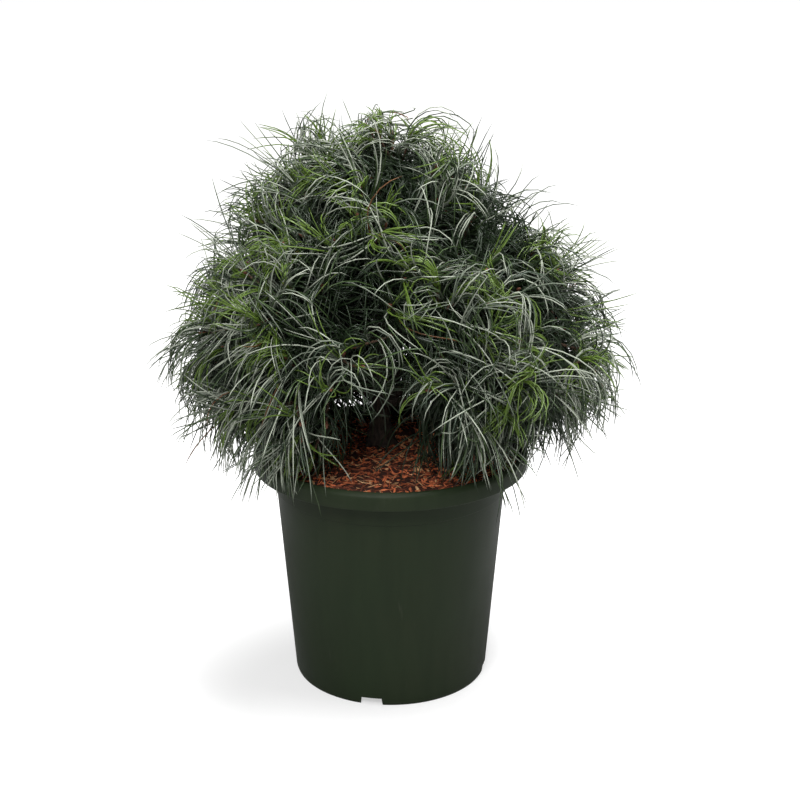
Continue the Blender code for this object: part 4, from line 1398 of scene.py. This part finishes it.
def shoot_needles(needles, shoot, rng):
    """What grows on one shoot: needles' roots, headings and so on, by their place in a bundle."""
    points = shoot["points"]
    axis = np.array((points[-1] - points[-2]).normalized())
    level, square = (np.array(v) for v in across_vectors(Vector(axis)))
    fine = shoot["rank"] == 2
    count = needles.side_bundles if fine else needles.bundles
    count = round(count * np.interp(points[-1].z, THIN_HEIGHTS, THIN_SHARES))
    zone = needles.zone * (SIDE_ZONE if fine else 1.0)
    order = np.arange(count)
    back = (order + rng.uniform(-SPACING_UNEVEN, SPACING_UNEVEN, count)).clip(0) / count
    turn = rng.uniform(0, 2 * np.pi) + order * GOLDEN_ANGLE + rng.normal(0, TURN_UNEVEN, count)
    side = np.cos(turn)[:, None] * level + np.sin(turn)[:, None] * square
    lean = np.interp(back, LEAN_PLACES, np.radians(LEAN_ANGLES)) * rng.uniform(*LEAN_UNEVEN, count)
    course = np.cos(lean)[:, None] * axis + np.sin(lean)[:, None] * side
    fresh = rng.uniform(*YOUNG_SHARE)
    young = (back < YOUNG_PLACE) & (rng.uniform(0, 1, count) < fresh)
    length = rng.uniform(needles.shortest, needles.longest, count) * rng.uniform(*SHOOT_LENGTHS)
    length = np.where(young, length * rng.uniform(*YOUNG_LENGTHS, count), length)
    weight = needles.droop * rng.uniform(*BUNDLE_WEIGHTS, count) * rng.uniform(*SHOOT_WEIGHTS)
    weight = weight * np.interp(points[-1].z, HOLD_HEIGHTS, HOLD_SHARES)
    weight = np.where(young, weight * YOUNG_WEIGHT, weight)
    whirl = rng.normal(0.0, SHOOT_CURL * needles.curl, 3)
    whirl = whirl + rng.normal(0.0, BUNDLE_CURL * needles.curl, (count, 3))
    stray = rng.uniform(0, 1, count) < STRAY_SHARE
    weight = np.where(stray, STRAY_WEIGHT * weight, weight)
    whirl = np.where(stray[:, None], STRAY_CURL * whirl, whirl)
    length = np.where(stray, STRAY_LENGTH * length, length)
    kind = rng.choice(len(KIND_SHARES), count, p=KIND_SHARES)
    kind = np.where(young, YOUNG_KIND, kind)
    root = np.array(points[-1]) - axis * (ROOT_BEHIND + zone * back)[:, None] + side * ROOT_OFF
    one = unit(np.cross(course, axis + BUNDLE_ASKEW * level))
    two = np.cross(course, one)
    fray = rng.exponential(FRAY_MEAN, count).clip(0, FRAY_MOST)
    limit = shoot["reach"] * (1.0 + fray + STRAY_REACH * stray)
    if shoot["mass"] == "leader":
        limit = np.where(stray, limit, LEADER_SHARE * limit)
    grown = []
    for k in range(NEEDLES_IN_BUNDLE):
        roll = 2.0 * np.pi * k / NEEDLES_IN_BUNDLE + rng.uniform(-ROLL_UNEVEN, ROLL_UNEVEN, count)
        aside = np.cos(roll)[:, None] * one + np.sin(roll)[:, None] * two
        apart = np.tan(np.radians(rng.uniform(*BUNDLE_SPREAD, count)))[:, None]
        waxy = rng.uniform(0, 1, count) < WAXY_SHARE
        dead = rng.uniform(0, 1, count) < DEAD_SHARE * back
        grown.append({
            "root": root + aside * BUNDLE_RADIUS,
            "heading": unit(course + aside * apart),
            "length": length * rng.uniform(*NEEDLE_LENGTHS, count),
            "weight": weight * rng.uniform(*NEEDLE_WEIGHTS, count),
            "whirl": whirl + rng.normal(0.0, NEEDLE_CURL * needles.curl, (count, 3)),
            "roll": np.stack([roll, rng.uniform(-NEEDLE_TWIST, NEEDLE_TWIST, count)], axis=1),
            "tone": np.stack([np.where(dead, DEAD_KIND, kind), waxy], axis=1),
            "limit": limit,
        })
    return grown


def needle_lines(crown, needles, shoots, rng):
    """Centre lines, rolls, tones and owners of all needles that the shoots bear.

    A roll is a needle's turn at its foot and its twist, a tone its kind and whether it is waxy, and
    an owner the number of its shoot.
    """
    grown = []
    owners = []
    for number, shoot in enumerate(shoots):
        for part in shoot_needles(needles, shoot, rng):
            grown.append(part)
            owners.append(np.full(len(part["root"]), number))
    every = {key: np.concatenate([part[key] for part in grown]) for key in grown[0]}
    heading = every["heading"]
    step = (every["length"] / NEEDLE_STEPS)[:, None]
    lines = [every["root"]]
    for i in range(NEEDLE_STEPS):
        share = (i + 0.5) / NEEDLE_STEPS
        fall = np.zeros_like(heading)
        fall[:, 2] = -every["weight"] * (FALL_AT_FOOT + FALL_MORE * share) / NEEDLE_STEPS
        heading = unit(heading + fall + np.cross(every["whirl"], heading) / NEEDLE_STEPS)
        lines.append(lines[-1] + heading * step)
    lines = fit_needles(crown, np.stack(lines, axis=1), every["limit"], rng)
    # Needles deep in the crown turn deep green on every side: older needles, and painted shade of
    # the crown's interior
    inner = crown_reach(crown, lines[:, NEEDLE_STEPS // 2]) < SHADED_INNER_REACH
    every["tone"][inner] = (SHADED_INNER_KIND, 0)
    return lines, every["roll"], every["tone"], np.concatenate(owners)


def fit_needles(crown, lines, limits, rng):
    """Shorten needles that pass the outline or meet the pot, and blank what still does.

    Most of those that cross the opening or the hollow are blanked too.
    """
    best = np.zeros(len(lines))
    spare = np.array([SPARE * (high - low) + SPARE_EXTRA for low, high in zip(*CAD_BOX)])
    lowest = np.array(CAD_BOX[0]) - spare
    highest = np.array(CAD_BOX[1]) + spare
    for scale in NEEDLE_SCALES:
        trial = lines[:, :1] + (lines - lines[:, :1]) * scale
        below = trial[..., 2] < CROWN_CENTRE.z
        hang = np.interp(np.abs(front_azimuth(trial)), HANG_AZIMUTHS, HANG_SHARES)
        shoulder = np.interp(trial[..., 2], SHOULDER_HEIGHTS, SHOULDER_SHARES)
        allowed = limits[:, None] * np.where(below, hang, shoulder)
        inside = (crown_reach(crown, trial) < allowed).all(axis=1)
        inside = inside & ((trial > lowest) & (trial < highest)).all(axis=(1, 2))
        middle = (trial[:, 1:] + trial[:, :-1]) / 2.0
        clear = off_the_pot(trial).all(axis=1) & off_the_pot(middle).all(axis=1)
        best = np.where(inside & clear, scale, best)
    lines = lines[:, :1] + (lines - lines[:, :1]) * best[:, None, None]
    offset = lines - np.array(CROWN_CENTRE)
    away = np.hypot(offset[..., 0], offset[..., 1])
    azimuth = front_azimuth(lines)
    view = (lines[..., 2] < VIEW_TOP) & (away > VIEW_DEPTH)
    view = view & (np.abs(azimuth - OPENING_AZIMUTH) < VIEW_HALF_WIDTH)
    hollow = (lines[..., 2] < HOLLOW_TOP) & (away > HOLLOW_DEPTH)
    hollow = hollow & (np.abs(azimuth - HOLLOW_AZIMUTH) < HOLLOW_HALF_WIDTH)
    chance = rng.uniform(0, 1, len(lines))
    crossing = view[:, VIEW_STATION:].any(axis=1) & (chance < VIEW_CLEARED)
    crossing = crossing | (hollow[:, HOLLOW_STATION:].any(axis=1) & (chance < HOLLOW_CLEARED))
    lines[(best == 0.0) | crossing] = np.nan
    return lines


def needle_faces(rings):
    """Faces of one needle, and the side of each: the first is its foot, on no side."""
    faces = [(2, 1, 0)]
    sides = [-1]
    last = NEEDLE_SIDES * (rings - 1)
    for low in range(0, last, NEEDLE_SIDES):
        high = low + NEEDLE_SIDES
        for k in range(NEEDLE_SIDES):
            n = (k + 1) % NEEDLE_SIDES
            faces.append((low + k, low + n, high + n, high + k))
            sides.append(k)
    for k in range(NEEDLE_SIDES):
        faces.append((last + k, last + (k + 1) % NEEDLE_SIDES, last + NEEDLE_SIDES))
        sides.append(k)
    return faces, np.array(sides)


def needle_slots(tones, sides):
    """Material slot of every face: the sheath at the foot, one outer side, and inner sides."""
    number = {slot: i for i, slot in enumerate(NEEDLE_SLOTS)}
    kind = tones[:, 0]
    waxy = tones[:, 1] > 0
    outer = np.array([number[slot] for slot, _ in NEEDLE_KINDS])[kind]
    inner = np.array([number[slot] for _, slot in NEEDLE_KINDS])[kind]
    inner = np.where(waxy & (kind < len(KIND_SHARES)), number["pale"], inner)
    slots = np.where(sides[None, :] <= 0, outer[:, None], inner[:, None])
    return np.where(sides[None, :] < 0, number["sheath"], slots)


def needle_mesh(name, lines, rolls, tones, width, materials):
    """One mesh of three-sided needles: rings along each line and a point at its tip."""
    count, stations, _ = lines.shape
    rings = stations - 1
    along = np.arange(rings) / rings
    ahead = unit(np.gradient(lines, axis=1))
    upright = np.abs(ahead[:, :1, 2:]) > NEEDLE_UPRIGHT
    hint = np.where(upright, np.array([1.0, 0.0, 0.0]), np.array([0.0, 0.0, 1.0]))
    level = unit(np.cross(ahead, hint))
    square = np.cross(level, ahead)
    radius = RING_RADIUS * width * np.interp(along, TAPER_PLACES, TAPER_SHARES)
    roll = rolls[:, :1] + rolls[:, 1:] * along[None, :]
    step = rings * NEEDLE_SIDES + 1
    points = np.empty((count, step, 3))
    for k in range(NEEDLE_SIDES):
        angle = roll + 2.0 * np.pi * k / NEEDLE_SIDES
        across = np.cos(angle)[..., None] * level[:, :rings]
        across = across + np.sin(angle)[..., None] * square[:, :rings]
        points[:, k:step - 1:NEEDLE_SIDES] = lines[:, :rings] + across * radius[None, :, None]
    points[:, -1] = lines[:, -1]
    faces, sides = needle_faces(rings)
    corners = np.concatenate([np.array(face) for face in faces])
    loops = (corners[None, :] + (np.arange(count) * step)[:, None]).ravel()
    totals = np.tile([len(face) for face in faces], count)
    first = np.concatenate([[0], np.cumsum(totals)[:-1]])
    mesh = bpy.data.meshes.new(name)
    mesh.vertices.add(count * step)
    mesh.vertices.foreach_set("co", points.astype(np.float32).ravel())
    mesh.loops.add(len(loops))
    mesh.loops.foreach_set("vertex_index", loops.astype(np.int32))
    mesh.polygons.add(len(totals))
    mesh.polygons.foreach_set("loop_start", first.astype(np.int32))
    mesh.polygons.foreach_set("loop_total", totals.astype(np.int32))
    for material in materials:
        mesh.materials.append(material)
    slots = needle_slots(tones, sides)
    mesh.polygons.foreach_set("material_index", slots.astype(np.int32).ravel())
    mesh.update(calc_edges=True)
    return mesh


class PINE_OT_grow_bark(bpy.types.Operator):
    """Grow the trunk and boughs with bark relief in place of the plain limbs"""

    bl_idname = "pine.grow_bark"
    bl_label = "Grow Bark"

    def execute(self, context):
        wood = context.scene.pine_wood
        crown = context.scene.pine_crown
        trunk = trunk_path()
        plans = plan_masses(crown, trunk)
        shell = Shell()
        radii = [radius for _, radius in trunk]

        def trunk_radius(share, point, across):
            place = share * (len(radii) - 1)
            i = min(int(place), len(radii) - 2)
            radius = radii[i] + (radii[i + 1] - radii[i]) * (place - i)
            height = point.z - TRUNK_FOOT.z
            foot = math.exp(-FLARE_FALL * height / FLARE_HEIGHT)
            turn = math.atan2(across.y, across.x)
            radius *= 1.0 + FLARE_LOBE_DEPTH * foot * math.cos(FLARE_LOBES * turn)
            spot = point + across * radius
            grain = Vector((spot.x * BARK_ACROSS, spot.y * BARK_ACROSS, spot.z * BARK_ALONG))
            ridges = fractal(grain, BARK_OCTAVES)
            return radius + wood.ridge * ridges * min(1.0, radius / TRUNK_RADIUS)

        line = smooth_line([point for point, _ in trunk], TRUNK_STEP)
        shell.tube(line, trunk_radius, TRUNK_SIDES)
        for plan in plans[:-1]:
            thick = plan["path"][0][1]
            thin = plan["path"][-1][1]

            def bough_radius(share, point, across, thick=thick, thin=thin):
                radius = thick + (thin - thick) * share
                radius *= 1.0 + BOUGH_SWELL * math.exp(-share * BOUGH_SWELL_FADE)
                spot = point + across * radius
                return radius + KNOB_HEIGHT * fractal(spot * KNOB_SCALE, KNOB_OCTAVES)

            line = smooth_line([point for point, _ in plan["path"]], BOUGH_STEP)
            shell.tube(line, bough_radius, BOUGH_SIDES)
        bark = shell.piece("bark", [bark_material(wood)])
        nodes = ["trunk"] + ["bough_" + plan["name"] for plan in plans[:-1]]
        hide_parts(*nodes)
        return {"FINISHED"}


class PINE_OT_grow_twigs(bpy.types.Operator):
    """Grow the stems, twigs, finer twigs and buds of every mass of foliage"""

    bl_idname = "pine.grow_twigs"
    bl_label = "Grow Twigs"

    def execute(self, context):
        wood = context.scene.pine_wood
        crown = context.scene.pine_crown
        plans = plan_masses(crown, trunk_path())
        shell = Shell()
        limb_tip = {plan["name"]: plan["path"][-1][1] for plan in plans}
        for shoot in grow_shoots(crown, plans):
            points = list(shoot["points"])
            thin = SHOOT_TIP_RADII[shoot["rank"]]
            if shoot["rank"] == 0:
                thick = limb_tip[shoot["mass"]]
                points[0] = points[0] - (points[1] - points[0]).normalized() * STEM_SUNK
            else:
                thick = SHOOT_FOOT_RADII[shoot["rank"]]

            def twig_radius(share, point, across, thick=thick, thin=thin):
                radius = thick + (thin - thick) * share
                return radius + SCAR_HEIGHT * noise.noise((point + across * radius) * SCAR_SCALE)

            shell.tube(smooth_line(points, TWIG_STEP), twig_radius, TWIG_SIDES)
            axis = (points[-1] - points[-2]).normalized()
            bud = [points[-1] + axis * place for place in BUD_PLACES]

            def bud_radius(share, point, across, thin=thin):
                return thin * BUD_SWELL[round(share * (len(BUD_SWELL) - 1))]

            shell.tube(bud, bud_radius, TWIG_SIDES, slot=1)
        materials = [twig_material(wood), plain_material("pine_bud", wood.bud, 0.6)]
        twigs = shell.piece("twigs", materials)
        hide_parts(*["foliage_" + plan["name"] for plan in plans])
        return {"FINISHED"}


class PINE_OT_grow_needles(bpy.types.Operator):
    """Grow sprays of long needles on every shoot, joined into a few pieces"""

    bl_idname = "pine.grow_needles"
    bl_label = "Grow Needles"

    def execute(self, context):
        crown = context.scene.pine_crown
        needles = context.scene.pine_needles
        plans = plan_masses(crown, trunk_path())
        shoots = grow_shoots(crown, plans)
        rng = np.random.default_rng(needles.seed)
        lines, rolls, tones, owners = needle_lines(crown, needles, shoots, rng)
        kept = ~np.isnan(lines).any(axis=(1, 2))
        materials = []
        for slot in NEEDLE_SLOTS:
            colour = tuple(getattr(needles, slot))
            roughness = WAX_ROUGHNESS if slot in WAX_SLOTS else NEEDLE_ROUGHNESS
            materials.append(plain_material("needle_" + slot, colour, roughness))
        masses = np.array([shoot["mass"] for shoot in shoots])[owners]
        for name, members in NEEDLE_PIECES:
            chosen = kept & np.isin(masses, members)
            mesh = needle_mesh(name, lines[chosen], rolls[chosen], tones[chosen],
                               needles.width, materials)
            piece = add_piece(name, mesh)
            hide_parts(*["foliage_" + member for member in members])
        return {"FINISHED"}


class PINE_OT_turn_pot(bpy.types.Operator):
    """Turn the pot with its lip, collar and foot, and cut its notches"""

    bl_idname = "pine.turn_pot"
    bl_label = "Turn Pot"

    def execute(self, context):
        pot = context.scene.pine_pot
        outline = rounded(pot_profile())
        item = add_piece("nursery_pot", turned_mesh("nursery_pot", outline, pot.sides))
        cutters = []
        for i in range(NOTCH_COUNT):
            angle = math.radians(NOTCH_AZIMUTH - 90.0 + 360.0 * i / NOTCH_COUNT)
            cutter = notch_cutter(angle)
            cut = item.modifiers.new("notch", "BOOLEAN")
            cut.operation = "DIFFERENCE"
            cut.solver = "EXACT"
            cut.object = cutter
            cutters.append(cutter)
        item.data = plain_mesh(item)
        item.data.name = "nursery_pot"
        for cutter in cutters:
            bpy.data.objects.remove(cutter, do_unlink=True)
        item.data.shade_smooth()
        item.data.set_sharp_from_angle(angle=math.radians(SHARP_ANGLE))
        item.data.materials.clear()
        item.data.materials.append(pot_material(pot))
        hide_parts("pot")
        return {"FINISHED"}


class PINE_OT_spread_mulch(bpy.types.Operator):
    """Spread shredded bark over the root ball"""

    bl_idname = "pine.spread_mulch"
    bl_label = "Spread Mulch"

    def execute(self, context):
        mulch = context.scene.pine_mulch
        bed = add_piece("mulch_bed", mulch_bed_mesh())
        bed.data.materials.append(soil_material(mulch))
        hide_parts("root_ball")
        chips = chip_collection(mulch.chip_length)
        surface = strewn_surface(bed.data)
        tree = chip_tree()
        joined = bmesh.new()
        materials = []
        for number, (shade, share, tilt) in enumerate(CHIP_LAYERS):
            strewn = bpy.data.objects.new("strewn_" + shade, surface)
            context.scene.collection.objects.link(strewn)
            colour = tuple(getattr(mulch, shade))
            material = wood_chip_material("mulch_" + shade, colour, number)
            materials.append(material)
            modifier = strewn.modifiers.new("Strew chips", "NODES")
            modifier.node_group = tree
            set_inputs(modifier, {
                "Chips": chips,
                "Density": mulch.density * share,
                "Smallest": mulch.smallest,
                "Largest": mulch.largest,
                "Tilt": tilt,
                "Seed": CHIP_SEED + number,
                "Finish": material,
            })
            mesh = plain_mesh(strewn)
            before = len(joined.faces)
            joined.from_mesh(mesh)
            joined.faces.ensure_lookup_table()
            for face in joined.faces[before:]:
                face.material_index = number
            bpy.data.objects.remove(strewn, do_unlink=True)
        mesh = bpy.data.meshes.new("mulch_chips")
        for material in materials:
            mesh.materials.append(material)
        rest_chips(joined)
        joined.to_mesh(mesh)
        joined.free()
        piece = add_piece("mulch_chips", mesh)
        for item in list(chips.objects):
            bpy.data.objects.remove(item, do_unlink=True)
        bpy.data.collections.remove(chips)
        return {"FINISHED"}


class PINE_OT_light_studio(bpy.types.Operator):
    """Set up the pale floor, the soft lights and the camera"""

    bl_idname = "pine.light_studio"
    bl_label = "Light Studio"

    def execute(self, context):
        studio = context.scene.pine_studio
        mesh = bpy.data.meshes.new("floor")
        signs = ((-1, -1), (1, -1), (1, 1), (-1, 1))
        corners = [(FLOOR_HALF * x, FLOOR_HALF * y, 0.0) for x, y in signs]
        mesh.from_pydata(corners, [], [(0, 1, 2, 3)])
        floor = bpy.data.objects.new("floor", mesh)
        context.scene.collection.objects.link(floor)
        mesh.materials.append(self.floor_material(studio))
        world = bpy.data.worlds.new("studio")
        world.use_nodes = True
        nodes = world.node_tree.nodes
        background = nodes["Background"]
        background.inputs["Color"].default_value = WHITE
        rays = nodes.new("ShaderNodeLightPath")
        strength = nodes.new("ShaderNodeMapRange")
        strength.inputs["To Min"].default_value = studio.sky
        world.node_tree.links.new(rays.outputs["Is Camera Ray"], strength.inputs["Value"])
        world.node_tree.links.new(strength.outputs["Result"], background.inputs["Strength"])
        context.scene.world = world
        for name, setting, place in LIGHTS:
            self.softbox(context, name, place, getattr(studio, setting))
        camera = bpy.data.cameras.new("camera")
        camera.lens = studio.lens
        camera.sensor_width = SENSOR_WIDTH
        item = bpy.data.objects.new("camera", camera)
        item.location = studio.eye
        item.rotation_euler = (math.pi / 2.0 - studio.pitch, 0.0, 0.0)
        context.scene.collection.objects.link(item)
        context.scene.camera = item
        context.scene.view_settings.view_transform = "Standard"
        return {"FINISHED"}

    def floor_material(self, studio):
        """Pale, with a glow for the camera alone that is weaker in the soft shade by the pot."""
        material = plain_material("studio_floor", tuple(studio.floor), 0.9, 0.1)
        tree = material.node_tree
        shader = tree.nodes["Principled BSDF"]
        shader.inputs["Emission Color"].default_value = WHITE
        place = tree.nodes.new("ShaderNodeTexCoord").outputs["Object"]
        away = tree.nodes.new("ShaderNodeVectorMath")
        away.operation = "DISTANCE"
        away.inputs[1].default_value = SHADE_PLACE
        glow = tree.nodes.new("ShaderNodeMapRange")
        glow.interpolation_type = "SMOOTHSTEP"
        near, far = SHADE_REACH
        glow.inputs["From Min"].default_value = near
        glow.inputs["From Max"].default_value = far
        glow.inputs["To Min"].default_value = studio.glow
        seen = tree.nodes.new("ShaderNodeMath")
        seen.operation = "MULTIPLY"
        rays = tree.nodes.new("ShaderNodeLightPath")
        tree.links.new(place, away.inputs[0])
        tree.links.new(away.outputs["Value"], glow.inputs["Value"])
        tree.links.new(glow.outputs["Result"], seen.inputs[0])
        tree.links.new(rays.outputs["Is Camera Ray"], seen.inputs[1])
        tree.links.new(seen.outputs["Value"], shader.inputs["Emission Strength"])
        return material

    def softbox(self, context, name, place, power):
        """A square area light that faces the crown."""
        light = bpy.data.lights.new(name, "AREA")
        light.energy = power
        light.size = LIGHT_SIZE
        item = bpy.data.objects.new(name, light)
        item.location = place
        aim = LIGHT_AIM - Vector(place)
        item.rotation_euler = aim.to_track_quat("-Z", "Y").to_euler()
        context.scene.collection.objects.link(item)


class PINE_PT_panel(bpy.types.Panel):
    """Steps that dress the pine, in their order"""

    bl_idname = "PINE_PT_panel"
    bl_label = "White Pine"
    bl_space_type = "VIEW_3D"
    bl_region_type = "UI"
    bl_category = "White Pine"

    def draw(self, context):
        for operator in OPERATORS:
            self.layout.operator(operator.bl_idname)


SETTINGS = {
    "pine_crown": PineCrown,
    "pine_needles": PineNeedles,
    "pine_wood": PineWood,
    "pine_pot": PinePot,
    "pine_mulch": PineMulch,
    "pine_studio": PineStudio,
}
OPERATORS = (
    PINE_OT_light_studio,
    PINE_OT_turn_pot,
    PINE_OT_spread_mulch,
    PINE_OT_grow_bark,
    PINE_OT_grow_twigs,
    PINE_OT_grow_needles,
)


def register():
    """Register the settings, operators and panel."""
    for name, group in SETTINGS.items():
        bpy.utils.register_class(group)
        setattr(bpy.types.Scene, name, bpy.props.PointerProperty(type=group))
    for operator in OPERATORS:
        bpy.utils.register_class(operator)
    bpy.utils.register_class(PINE_PT_panel)


def unregister():
    """Undo what register did."""
    bpy.utils.unregister_class(PINE_PT_panel)
    for operator in reversed(OPERATORS):
        bpy.utils.unregister_class(operator)
    for name, group in SETTINGS.items():
        delattr(bpy.types.Scene, name)
        bpy.utils.unregister_class(group)


def main():
    """Dress the plant."""
    register()
    bpy.ops.pine.light_studio()
    bpy.ops.pine.turn_pot()
    bpy.ops.pine.spread_mulch()
    bpy.ops.pine.grow_bark()
    bpy.ops.pine.grow_twigs()
    bpy.ops.pine.grow_needles()
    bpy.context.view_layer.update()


if __name__ == "__main__":
    main()
